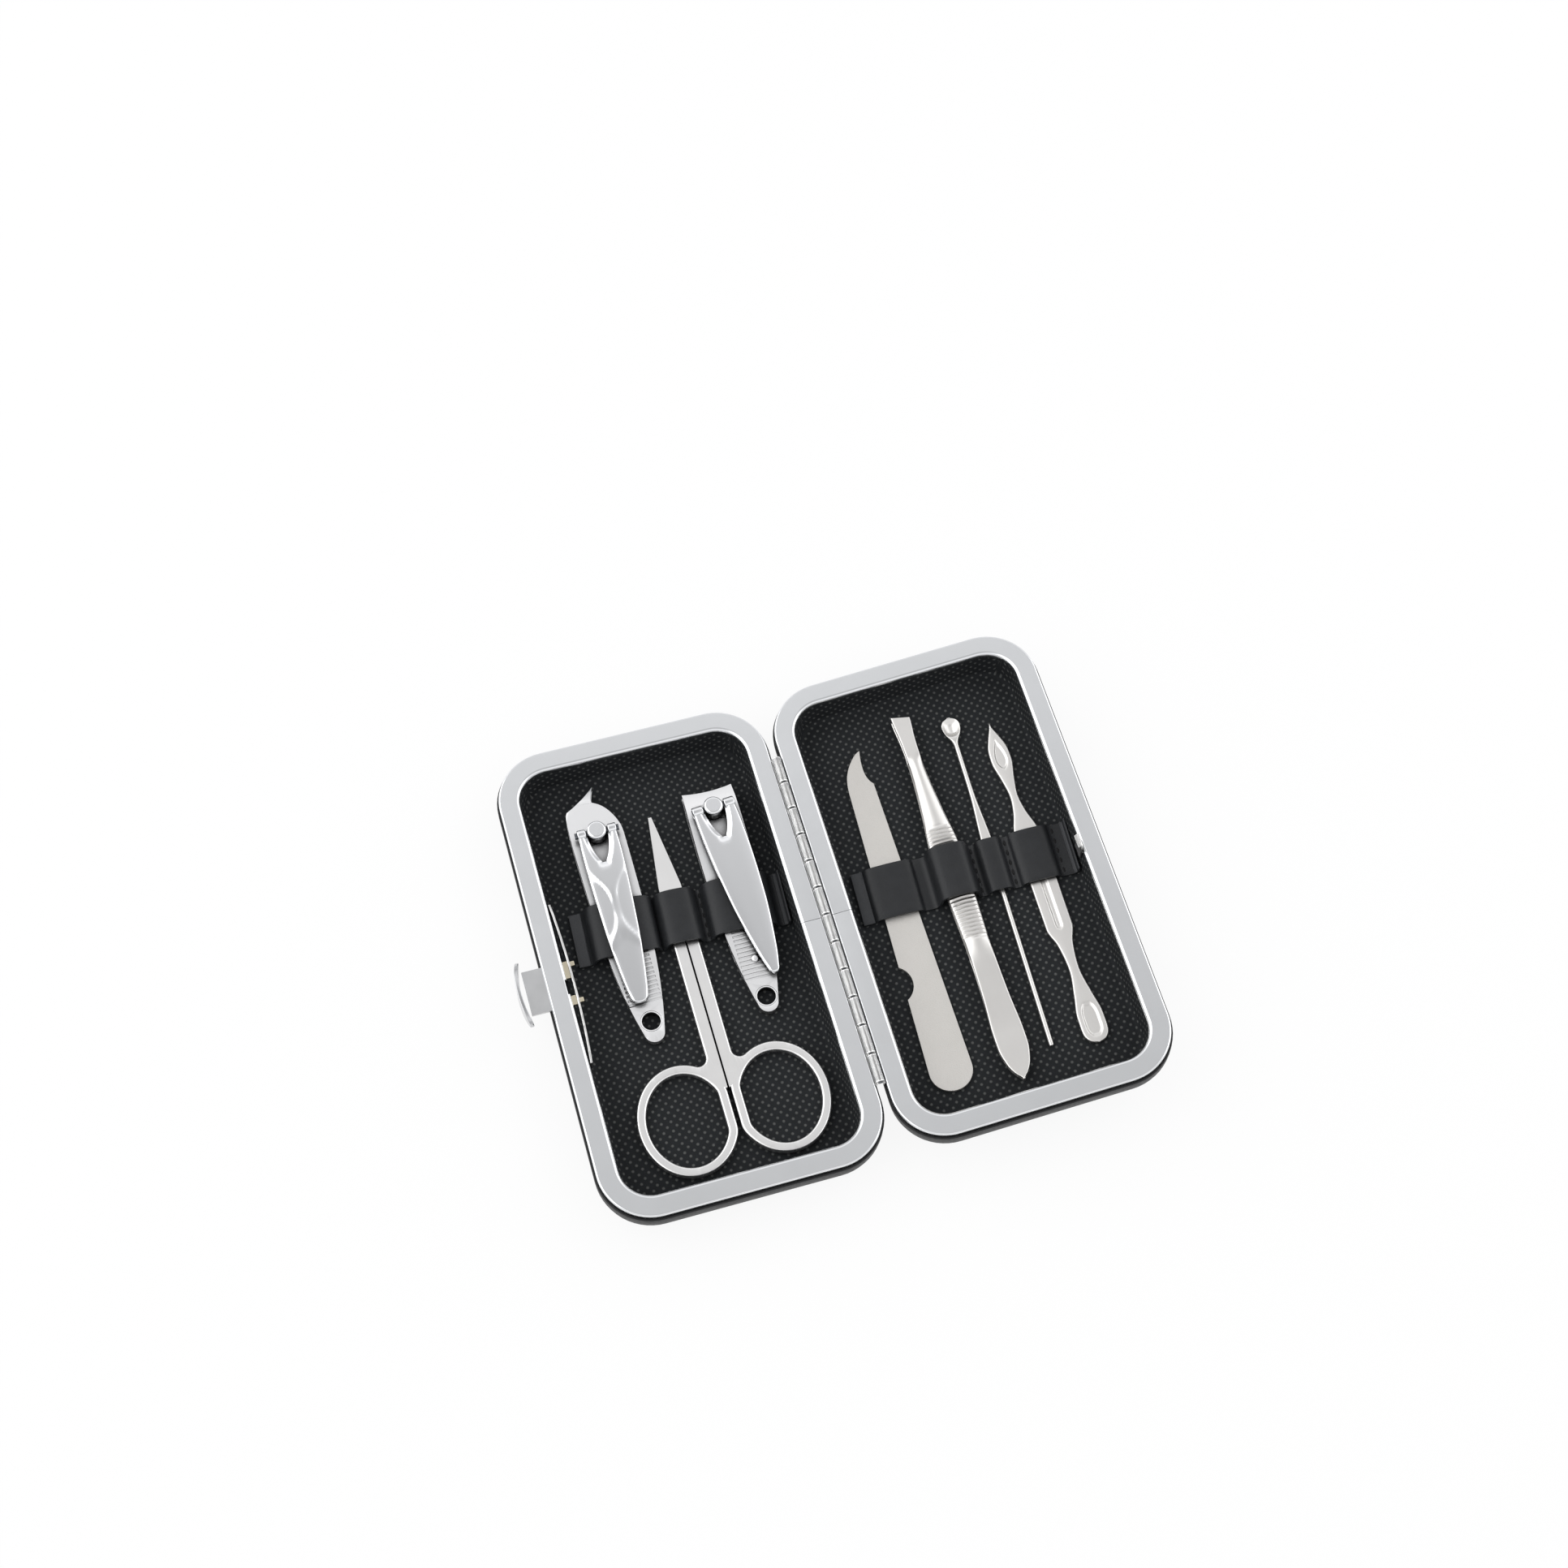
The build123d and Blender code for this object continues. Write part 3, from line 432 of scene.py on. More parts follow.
def makeCover(side):
    width = case["far"] - case["near"] + 2 * cover["proud"]
    length = 2 * (case["halfLength"] + cover["proud"])
    piece = halfOutline(side + "_cover_leather", width, length, case["cornerRadius"] + cover["proud"], 14)
    fall = case["depth"] - case["rimDepth"]
    extrudeDown(fall)
    roundFloor(piece, case["depth"], cover["bottomRound"], 12, False)
    wall = piece.modifiers.new("wall", "SOLIDIFY")
    wall.thickness, wall.offset = cover["skin"] * mm, -1
    bevelEdges(piece, *cover["lipBevel"])
    putInHalf(piece, side)
    smooth(piece)
    dress(piece, coverFinish, side, "leatherette", side + "_cover")


for half in ("base", "lid"):
    makeCover(half)
print("covers made")


# linings

openingNear, openingFar = case["near"] + case["rimWidth"], case["far"] - case["rimWidth"]
lining = dict(floorRound=1.2, skin=0.45, wallStretch=0.9)


def makeLining(side):
    wall = math.tan(math.radians(case["draft"]))
    width = openingFar - openingNear
    halfLength = case["halfLength"] - case["rimWidth"]
    drop = case["trayDepth"] - case["rimDepth"]
    corner = case["cornerRadius"] - case["rimWidth"]
    piece = halfOutline(side + "_lining_cloth", width, 2 * halfLength, corner, 12)
    extrudeDown(drop)
    shrink = 2 * drop * wall
    bpy.ops.transform.resize(value=(1 - shrink / width, 1 - shrink / (2 * halfLength), 1),
                             center_override=(trayMiddle * mm, 0, 0))
    roundFloor(piece, case["trayDepth"], lining["floorRound"], 5, True)
    # the pattern runs on over the walls as if the cloth were unfolded from the floor
    layer = piece.data.uv_layers.active
    layer.name = "cloth"
    floorX = width / 2 - drop * wall - lining["floorRound"]
    floorY = halfLength - drop * wall - lining["floorRound"]
    for loop in piece.data.loops:
        spot = piece.data.vertices[loop.vertex_index].co / mm
        x, y = spot.x - trayMiddle, spot.y
        rise = max(0.0, spot.z + case["trayDepth"])
        over = Vector((max(0.0, abs(x) - floorX) * (1 if x > 0 else -1),
                       max(0.0, abs(y) - floorY) * (1 if y > 0 else -1)))
        push = over.normalized() * rise * lining["wallStretch"] if over.length > 0.001 else Vector((0, 0))
        layer.data[loop.index].uv = ((spot.x + push.x) * mm, (spot.y + push.y) * mm)
    skin = piece.modifiers.new("skin", "SOLIDIFY")
    skin.thickness, skin.offset = lining["skin"] * mm, -1
    applyAll(piece)
    putInHalf(piece, side)
    smooth(piece)
    dress(piece, dottedFinish, side, "dotted_lining", side + "_lining")


for half in ("base", "lid"):
    makeLining(half)
print("linings made")


# straps

strap = dict(width=12.3, thickness=0.6, skin=0.54, bend=9, arch=0.16, air=0.12, slope=0.9, sideRoom=0.3,
             skewRoom=0.35, flare=0.14, flareFrom=1.2, endWidth=2.6, endSkin=0.34, endGap=0.02,
             bevel=(0.14, 2, 50), across=10, steps=6)
strapAt = dict(base=dict(y=10.3, turn=2.58, seams=(24.3, 35.2)),
               lid=dict(y=3.0, turn=-2.58, seams=(10.35, 34.55, 42.2, 52.9)))
stitch = dict(size=(0.30, 0.68, 0.17), height=0.62, pitch=2.35, count=5)
# a strap's outer end runs up the wall of the tray, its other end lies on the floor
strapEnd = dict(wall=0.85, corner=0.98, floor=0.33, bend=0.85, flat=0.3, baseRise=2.1, lidRise=2.3,
                baseTail=3.2, lidTail=2.0)
# middle, half width and height of the tool under a loop, and how far the loop's sides lean out
underLoop = dict(scissors=(29.9, 2.85, 3.5, 0.7), nail_file=(15.95, 4.2, 1.3, 0.7),
                 tweezers=(29.35, 3.3, 4.15, 0.5), ear_pick=(38.55, 1.5, 1.55, 0.8),
                 cuticle_pusher=(47.6, 3.1, 1.4, 0.7))
dome = dict(room=0.35, wall=0.1, wallHeight=2.6, crown=1.7, air=0.05)
clipperPosts = dict(oblique=(42.25, 32.9), straight=(16.25, 31.9))
armRise = dict(start=-40.0, end=-3.0, rise=2.1, thickness=1.0, halfWidth=5.8, room=0.22, grip=0.15)


def loopPath(low, high, height, slope):
    # places, heights and bend radii of one loop, a little arched on top
    middle, bend = strap["thickness"] / 2, strap["bend"]
    near, far = low - strap["sideRoom"] - middle, high + strap["sideRoom"] + middle
    top = height + strap["air"] + middle
    return [(near - slope, middle, bend), (near, top, bend), ((near + far) / 2, top + strap["arch"], bend),
            (far, top, bend), (far + slope, middle, bend)]


def domePath(low, high, height, slope):
    # the loop over the scissors stands up in one round hump
    near, far = low - strap["sideRoom"] - dome["room"], high + strap["sideRoom"] + dome["room"]
    shape = ((-slope, strap["thickness"] / 2), (dome["wall"], dome["wallHeight"]),
             (dome["crown"], height + dome["air"]))
    left = [(near + inward, level, strap["bend"]) for inward, level in shape]
    return left + [(far - inward, level, strap["bend"]) for inward, level in reversed(shape)]


def clipperPath(kind, y):
    # a clipper's arms rise towards its post, and the loop rises with them
    x, postY = clipperPosts[kind]
    rise = armRise["rise"] * (y - postY - armRise["start"]) / (armRise["end"] - armRise["start"])
    height = 2 * armRise["thickness"] + rise + armRise["room"]
    leanRoom = strap["skewRoom"] / 2 if kind == "oblique" else 0
    return loopPath(x - armRise["halfWidth"] - leanRoom + armRise["grip"],
                    x + armRise["halfWidth"] - armRise["grip"] + strap["skewRoom"], height, strap["slope"])


def baseStrapPath(y):
    x, half, height, slope = underLoop["scissors"]
    hump = domePath(x - half - strap["skewRoom"], x + half + strap["skewRoom"], height, slope)
    rows = clipperPath("straight", y) + hump + clipperPath("oblique", y)
    start = [(openingNear + strapEnd["wall"], strapEnd["baseRise"], 0),
             (openingNear + strapEnd["corner"], strapEnd["floor"], strapEnd["bend"])]
    return start + rows + [(rows[-1][0] + strapEnd["baseTail"], strapEnd["flat"], 0)]


def lidStrapPath(y):
    rows = []
    for tool in ("nail_file", "tweezers", "ear_pick", "cuticle_pusher"):
        x, half, height, slope = underLoop[tool]
        rows += loopPath(x - half, x + half, height, slope)
    end = [(openingFar - strapEnd["corner"], strapEnd["floor"], strapEnd["bend"]),
           (openingFar - strapEnd["wall"], strapEnd["lidRise"], 0)]
    return [(openingNear + strapEnd["lidTail"], strapEnd["flat"], 0)] + rows + end


def roundedPath(points):
    # swaps each corner of an open path for a small arc
    path = [Vector(points[0][:2])]
    for before, here, after in zip(points, points[1:], points[2:]):
        corner, radius = Vector(here[:2]), here[2]
        back, ahead = Vector(before[:2]) - corner, Vector(after[:2]) - corner
        reach = radius / math.tan(back.angle(ahead) / 2)
        start = corner + back.normalized() * min(reach, back.length * 0.49)
        end = corner + ahead.normalized() * min(reach, ahead.length * 0.49)
        for step in range(strap["steps"] + 1):
            t = step / strap["steps"]
            path.append(start * (1 - t) ** 2 + corner * 2 * t * (1 - t) + end * t ** 2)
    path.append(Vector(points[-1][:2]))
    return path


def startOf(path, length):
    # the first stretch of a path
    kept, run = [path[0]], 0.0
    for a, b in zip(path, path[1:]):
        step = (b - a).length
        if run + step >= length:
            kept.append(a + (b - a) * ((length - run) / step))
            break
        run += step
        kept.append(b)
    return kept


def strapPlace(side):
    turned = Matrix.Rotation(math.radians(strapAt[side]["turn"]), 4, "Z")
    return Matrix.Translation((trayMiddle, strapAt[side]["y"], -case["trayDepth"])) @ turned


def makeBand(name, side, paths, skin, raised, finish):
    # a strip of leather along two paths, one for each of its long edges
    piece = startShape(bpy.ops.mesh.primitive_grid_add, name, size=1,
                       x_subdivisions=len(paths[0]) - 1, y_subdivisions=strap["across"])
    columns, place = orderAlong(piece, 0), strapPlace(side)
    for vert in piece.data.vertices:
        column = columns[round(vert.co.x, 5)]
        share = vert.co.y + 0.5
        spot = paths[0][column] * (1 - share) + paths[1][column] * share
        flare = strap["flare"] * abs(2 * share - 1) ** 4 * min(1.0, max(0.0, spot.y - strap["flareFrom"]))
        across = (share - 0.5) * strap["width"]
        vert.co = (place @ Vector((spot.x - trayMiddle, across, spot.y + raised + flare))) * mm
    wall = piece.modifiers.new("skin", "SOLIDIFY")
    wall.thickness, wall.offset = skin * mm, 0
    bevelEdges(piece, *strap["bevel"])
    putInHalf(piece, side)
    smooth(piece, 60)
    dress(piece, finish, side, "strap_leather")
    return piece


def makeStitches(side):
    # one stitch is shaped, then copied along each seam
    place = strapPlace(side)
    turned = Matrix.Rotation(math.radians(strapAt[side]["turn"]), 4, "Z")
    first = startShape(bpy.ops.mesh.primitive_uv_sphere_add, "stitch", segments=10, ring_count=6, radius=1)
    first.data.transform(Matrix.Diagonal((*(size * mm for size in stitch["size"]), 1)))
    stitches = []
    for x in strapAt[side]["seams"]:
        for number in range(stitch["count"]):
            along = (number - (stitch["count"] - 1) / 2) * stitch["pitch"]
            spot = place @ Vector((x - trayMiddle, along, stitch["height"]))
            stitches.append(twinOf(first, Matrix.Translation(spot * mm) @ turned))
    bpy.data.objects.remove(first)
    piece = joinAll(stitches[0], stitches[1:])
    piece.name = side + "_strap_stitches"
    piece.data.name = piece.name
    putInHalf(piece, side)
    smooth(piece, 60)
    dress(piece, threadFinish, side, "strap_leather")
    return piece


def makeStrap(side, pathAt):
    y = strapAt[side]["y"]
    paths = [roundedPath(pathAt(y + edge * strap["width"] / 2)) for edge in (-1, 1)]
    long = makeBand(side + "_strap_leather", side, paths, strap["skin"], 0.0, strapFinish)
    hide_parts(side + "_strap")
    lengthOfCut = sum((b - a).length for a, b in zip(paths[0], paths[0][1:]))
    # a folded strip is sewn over each end
    near = startOf(roundedPath(pathAt(y)[:3]), strap["endWidth"])
    far = startOf(roundedPath(pathAt(y)[-3:])[::-1], strap["endWidth"])[::-1]
    raised = strap["skin"] / 2 + strap["endSkin"] / 2 + strap["endGap"]
    extras = [makeBand(side + "_strap_end_" + name, side, [end, end], strap["endSkin"], raised, tabFinish)
              for name, end in (("near", near), ("far", far))]
    extras.append(makeStitches(side))


makeStrap("base", baseStrapPath)
makeStrap("lid", lidStrapPath)
print("straps made")


# hinge: one knuckle is shaped, then copied along each leaf

hinge = dict(count=12, pitch=6.52, gap=0.42, radius=0.95, height=0.1, cup=0.35, cupDepth=0.96,
             webAt=0.42, webRise=0.24, webWidth=0.9, webThick=0.46,
             near=0.6, leaf=0.5, leafAt=-1.2, leafHeight=1.0, bevel=(0.12, 3, 50), leafBevel=(0.08, 2, 30))


def makeKnuckle():
    length, height = (hinge["pitch"] - hinge["gap"]) * mm, hinge["height"] * mm
    knuckle = startShape(bpy.ops.mesh.primitive_cylinder_add, "knuckle", vertices=36, depth=length,
                         radius=hinge["radius"] * mm, location=(0, 0, height),
                         rotation=(math.radians(90), 0, 0))
    insetCaps(knuckle, hinge["cup"])
    bpy.ops.mesh.extrude_region_move()
    bpy.ops.transform.resize(value=(1, hinge["cupDepth"], 1), center_override=(0, 0, height))
    setMode("OBJECT")
    applyAll(knuckle)
    # the sheet runs from under the barrel to the leaf
    webZ = hinge["height"] - hinge["radius"] + hinge["webRise"]
    web = startShape(bpy.ops.mesh.primitive_cube_add, "web", size=1,
                     location=(hinge["webAt"] * mm, 0, webZ * mm))
    web.scale = (hinge["webWidth"] * mm, length, hinge["webThick"] * mm)
    applyAll(web)
    joinAll(knuckle, [web])
    bevelEdges(knuckle, *hinge["bevel"])
    return knuckle


def makeHingeLeaf(side, first):
    length = hinge["count"] * hinge["pitch"]
    knuckle = makeKnuckle()
    knuckles = []
    for number in range(first, hinge["count"], 2):
        along = (length / 2 - (number + 0.5) * hinge["pitch"]) * mm
        knuckles.append(twinOf(knuckle, Matrix.Translation((0, along, 0))))
    bpy.data.objects.remove(knuckle)
    middle = (hinge["near"] + hinge["leaf"] / 2) * mm
    strip = startShape(bpy.ops.mesh.primitive_cube_add, side + "_hinge_barrels", size=1,
                       location=(middle, 0, hinge["leafAt"] * mm))
    strip.scale = (hinge["leaf"] * mm, length * mm, hinge["leafHeight"] * mm)
    applyAll(strip)
    bevelEdges(strip, *hinge["leafBevel"])
    joinAll(strip, knuckles)
    putInHalf(strip, side)
    smooth(strip)
    dress(strip, hingeFinish, side, "hardware_steel", side + "_hinge_leaf")


makeHingeLeaf("base", 1)
makeHingeLeaf("lid", 0)
print("hinge made")


# lofted tools: rows of closed outlines joined into one skin

def curveAt(table, spot):
    # smooth curve through (place, value) pairs given from low place to high
    if spot <= table[0][0]:
        return table[0][1]
    if spot >= table[-1][0]:
        return table[-1][1]
    number = next(number for number in range(len(table) - 1) if spot <= table[number + 1][0])
    (a, low), (b, high) = table[number:number + 2]
    (start, before), (stop, after) = table[max(number - 1, 0)], table[min(number + 2, len(table) - 1)]
    # level at both ends and wherever the values turn back
    slopeA = (high - before) / (b - start) if (low - before) * (high - low) > 0 else 0
    slopeB = (after - low) / (stop - a) if (after - high) * (high - low) > 0 else 0
    t = (spot - a) / (b - a)
    span = b - a
    return (low * (2 * t ** 3 - 3 * t ** 2 + 1) + high * (3 * t ** 2 - 2 * t ** 3)
            + span * slopeA * (t ** 3 - 2 * t ** 2 + t) + span * slopeB * (t ** 3 - t ** 2))


def easeStep(low, high, spot):
    t = min(1.0, max(0.0, (spot - low) / (high - low)))
    return t * t * (3 - 2 * t)


def plateRow(place, height, left, right, topAt, thick, edge, count=12, pitch=0.0, corner=4):
    # outline of a sheet-metal section: topAt(x) is added to the height, pitch leans the section forward
    edge = min(edge, thick * 0.499, (right - left) * 0.45)
    turns = [math.pi / 2 * step / corner for step in range(corner + 1)]
    bends = [(edge * (1 - math.cos(turn)), edge * (1 - math.sin(turn))) for turn in turns]
    spots = [(left + inward, fall) for inward, fall in bends]
    spots += [(left + edge + (right - left - 2 * edge) * step / count, 0.0) for step in range(1, count)]
    spots += [(right - inward, fall) for inward, fall in reversed(bends)]
    rows = [(x, topAt(x) - fall) for x, fall in spots]
    under = [(x, 2 * topAt(x) - thick - z) for x, z in reversed(rows)]
    lean = math.radians(pitch)
    return [Vector((x, place + math.sin(lean) * z, height + math.cos(lean) * z)) for x, z in rows + under]


def loftRows(name, rows):
    around = len(rows[0])
    piece = startShape(bpy.ops.mesh.primitive_grid_add, name, size=1,
                       x_subdivisions=around, y_subdivisions=len(rows) - 1)
    columns, lines = orderAlong(piece, 0), orderAlong(piece, 1)
    for vert in piece.data.vertices:
        column, line = columns[round(vert.co.x, 5)], lines[round(vert.co.y, 5)]
        vert.co = rows[line][column % around] * mm
    setMode("EDIT")
    selectMesh("SELECT")
    bpy.ops.mesh.remove_doubles(threshold=0.000001)
    return piece


def closeEnds(piece):
    selectMesh("SELECT")
    bpy.ops.mesh.fill_holes(sides=0)
    selectMesh("SELECT")
    bpy.ops.mesh.normals_make_consistent(inside=False)
    setMode("OBJECT")
    return piece


toolLift = 0.15


def baseSpot(x, y, lean):
    floor = (case["rimTop"] - case["trayDepth"] + toolLift) * mm
    leaning = Matrix.Rotation(math.radians(lean), 4, "Z")
    return Matrix.Translation(((case["hingeX"] - x) * mm, y * mm, floor)) @ leaning


def lidSpot(x, y, lean):
    drop = (toolLift - case["trayDepth"]) * mm
    leaning = Matrix.Rotation(-math.radians(lean), 4, "Z")
    return halfMatrix("lid") @ Matrix.Translation((x * mm, y * mm, drop)) @ leaning


# clipper levers: a bent plate with a slot for the post, on two curled ears

lever = dict(thickness=1.0, front=0.9, edge=0.32, across=9,
             top=6.78, slope=0.0285, sag=0.00093, sideDrop=0.16,
             slotHalf=2.35, slotEnd=-7.4, slotTip=0.5, roll=0.5, rollReach=1.15, rollStart=1.4,
             tip=-39.5, tipBow=0.72, tipThin=0.85, tipNarrow=0.12,
             pinHeight=5.9, earRadius=1.25, earRoom=0.1, earInset=0.3, earBevel=(0.2, 3, 50),
             bevel=(0.3, 3, 50))
levers = dict(
    oblique=dict(at=(42.25, 32.9, -0.8),
                 half=((-41, 1.2), (-40, 1.65), (-38.8, 2.0), (-30, 3.1), (-22.5, 3.72),
                       (-5, 4.35), (1, 4.2)),
                 waist=dict(middle=-18.2, reach=8.6, ridge=0.1, spread=3.6, fall=0.22, bank=0.8, shoulder=0.1,
                            tail=-22.8, tailReach=2.6, tailLean=0.9)),
    straight=dict(at=(16.25, 31.9, 4.1),
                  half=((-41, 0.7), (-39.6, 1.15), (-34, 2.35), (-22.5, 3.95), (-5, 4.8), (1, 4.7)),
                  waist=None))
# pitch, fall and reach of the rows that turn down round the lever's tip
tipRows = ((25, 0.05, 0.24), (50, 0.18, 0.46), (72, 0.38, 0.62), (86, 0.60, 0.70), (90, 0.72, 0.72))


def leverSlot(y):
    # half the width of the slot, which ends in a drop
    if y >= 0:
        return lever["slotHalf"]
    share = min(1.0, y / lever["slotEnd"])
    return max(lever["slotTip"], lever["slotHalf"] * (1 - share ** 1.7) ** 0.62)


def leverTop(y):
    return lever["top"] + lever["slope"] * y - lever["sag"] * y * y


def leverShape(waist, y, half):
    def shape(x):
        side = lever["sideDrop"] * (abs(x) / half) ** 4
        drop = side
        if waist:
            # two scoops with flat floors leave a narrow ridge that forks at both its ends
            ridge = waist["ridge"] + waist["spread"] * (abs(y - waist["middle"]) / waist["reach"]) ** 2.2
            drop += waist["fall"] * easeStep(0.0, waist["bank"], abs(x) - ridge + waist["shoulder"])
            tail = easeStep(0.0, waist["tailReach"], waist["tail"] - y - waist["tailLean"] * abs(x))
            drop = drop * (1 - tail) + tail * (waist["fall"] + side)
        if y > lever["slotEnd"] - lever["rollStart"]:
            # the metal rolls down to the slot
            beside = max(0.0, abs(x) - leverSlot(max(y, lever["slotEnd"])))
            away = math.hypot(beside, min(0.0, y - lever["slotEnd"]))
            drop += lever["roll"] * (1 - easeStep(0.0, lever["rollReach"], away))
        return -drop
    return shape


def bowed(row, share):
    return [Vector((spot.x, spot.y + lever["tipBow"] * share * (spot.x / 2.0) ** 2, spot.z)) for spot in row]


def leverRow(sizes, y):
    half, level, count = curveAt(sizes["half"], y), leverTop(y), lever["across"]
    shape = leverShape(sizes["waist"], y, half)
    row = plateRow(y, level, -half, half, shape, lever["thickness"], lever["edge"], 2 * count + 1)
    # the two middle columns of each face follow the sides of the slot
    middle, gap, spread = 4 + count, leverSlot(y), half - lever["edge"]
    for first, sign, low in ((middle, 1, 0), (len(row) - 2 - middle, -1, -lever["thickness"])):
        for number in range(count + 1):
            share = number / count
            for index, side in ((first - number, -1), (first + 1 + number, 1)):
                x = side * sign * (gap + (spread - gap) * share)
                row[index] = Vector((x, y, level + shape(x) + low))
    return bowed(row, easeStep(lever["tip"] + 3, lever["tip"], y))


def tipRow(sizes, pitch, drop, back):
    y = lever["tip"] - back
    half = curveAt(sizes["half"], y) * (1 - lever["tipNarrow"] * pitch / 90)
    shape, thick = leverShape(sizes["waist"], y, half), lever["thickness"] * lever["tipThin"]
    return bowed(plateRow(y, leverTop(lever["tip"]) - drop, -half, half, shape, thick, lever["edge"],
                          2 * lever["across"] + 1, -pitch + 0.001), 1)


def cutSlot(piece):
    def overSlot(face):
        spot = face.calc_center_median()
        wide = max(vert.co.x for vert in face.verts) - min(vert.co.x for vert in face.verts)
        inside = all(abs(vert.co.x) <= (leverSlot(vert.co.y / mm) + 0.02) * mm for vert in face.verts)
        return spot.y > lever["slotEnd"] * mm and inside and abs(spot.x) < 0.2 * mm and wide > 0.5 * mm

    def besideSlot(edge):
        off = [abs(abs(vert.co.x) - leverSlot(vert.co.y / mm) * mm) for vert in edge.verts]
        inFront = (edge.verts[0].co.y + edge.verts[1].co.y) / 2 >= (lever["front"] - 0.05) * mm
        return edge.is_boundary and max(off) < 0.02 * mm and not inFront

    pickParts(piece, "faces", overSlot)
    bpy.ops.mesh.delete(type="FACE")
    pickParts(piece, "edges", besideSlot)
    bpy.ops.mesh.bridge_edge_loops()


def makeEar(sizes, side):
    outer = curveAt(sizes["half"], 0) + lever["earRoom"]
    inner = lever["slotHalf"] + lever["earRoom"]
    ear = startShape(bpy.ops.mesh.primitive_cylinder_add, "ear", vertices=40, radius=lever["earRadius"] * mm,
                     depth=(outer - inner) * mm, rotation=(0, math.radians(90), 0),
                     location=(side * (outer + inner) / 2 * mm, 0, lever["pinHeight"] * mm))
    insetCaps(ear, lever["earInset"])
    setMode("OBJECT")
    bevelEdges(ear, *lever["earBevel"])
    return ear


def makeLever(kind):
    sizes = levers[kind]
    places = [lever["front"], lever["front"] - 0.45]
    places += [-0.55 * number for number in range(14)] + [lever["slotEnd"]]
    places += [-8.1 - 0.8 * number for number in range(38)] + [-38.8, -39.2, lever["tip"]]
    rows = [leverRow(sizes, y) for y in places] + [tipRow(sizes, *bend) for bend in tipRows]
    rows.reverse()
    piece = loftRows(kind + "_clipper_lever_plate", rows)
    cutSlot(piece)
    closeEnds(piece)
    bevelEdges(piece, *lever["bevel"])
    joinAll(piece, [makeEar(sizes, side) for side in (-1, 1)])
    piece.data.transform(baseSpot(*sizes["at"]))
    smooth(piece, 42)
    dress(piece, leverFinish, kind + "_clipper_handle", "clipper_chrome", kind + "_clipper_lever")


for kind in levers:
    makeLever(kind)
print("levers made")


nub = dict(spot=(-0.1, -35.3, 2.35), radius=0.8, height=0.9, inset=0.25, rise=0.12, bevel=(0.15, 3, 30),
           at=(16.25, 31.9, -0.5))


def makeNub():
    # small stamped stop on the straight clipper's upper arm
    piece = startShape(bpy.ops.mesh.primitive_cylinder_add, "straight_clipper_nub", vertices=28,
                       radius=nub["radius"] * mm, depth=nub["height"] * mm,
                       location=[place * mm for place in nub["spot"]])
    insetCaps(piece, nub["inset"], lambda face: len(face.verts) > 4 and face.normal.z > 0)
    bpy.ops.transform.translate(value=(0, 0, nub["rise"] * mm))
    setMode("OBJECT")
    bevelEdges(piece, *nub["bevel"])
    piece.data.transform(baseSpot(*nub["at"]))
    smooth(piece)
    dress(piece, chromeFinish, "straight_clipper_jaw", "clipper_chrome")


makeNub()


# tweezers

tweezer = dict(top=44.1, sheet=0.9, thinning=0.2, gripLow=-11.7, gripHigh=16.4, ribPitch=0.95, ribDepth=0.32,
               crown=0.72, slant=0.5, edge=0.3, middle=1.85, at=(29.35, -1.6, 0.2))
tweezerHalf = ((-43.9, 0.25), (-42.5, 1.35), (-40.4, 2.45), (-35.9, 3.3), (-32.0, 3.28), (-25, 2.85),
               (-13.7, 2.6), (-4, 2.85), (10.2, 3.25), (19.5, 2.4), (28.3, 1.75), (34.9, 1.6),
               (38.9, 1.75), (44.1, 2.1))
# half the gap between the arms: welded at the low end, bowed at the grips
tweezerGap = ((-45, 0), (-32.9, 0), (-24, 0.42), (-11.7, 0.95), (16.4, 0.95), (34.9, 0.8), (46, 0.8))


def ribsAt(y):
    low, high = tweezer["gripLow"], tweezer["gripHigh"]
    if not low < y < high:
        return 0.0
    wave = 0.5 + 0.5 * math.cos(2 * math.pi * y / tweezer["ribPitch"])
    return tweezer["ribDepth"] * wave * easeStep(low, low + 1, y) * (1 - easeStep(high - 1, high, y))


def tweezerRow(y, ribs):
    half, gap = curveAt(tweezerHalf, y), curveAt(tweezerGap, y)
    crown = tweezer["crown"] * easeStep(-18, -10, y) * (1 - easeStep(31.4, 34.5, y))
    thick = tweezer["sheet"] - tweezer["thinning"] * easeStep(35, 44, y)

    def shape(x):
        share = min(1.0, abs(x) / half)
        return -crown * share ** 2 - ribs * (1 - share ** 6)

    row = plateRow(y, gap + tweezer["sheet"], -half, half, shape, thick, tweezer["edge"], 16)
    slant = tweezer["slant"] * easeStep(37, 44, y)
    # only the outer face is crowned
    return [Vector((spot.x, spot.y - slant * spot.x / 2.1 - slant, max(spot.z, gap))) for spot in row]


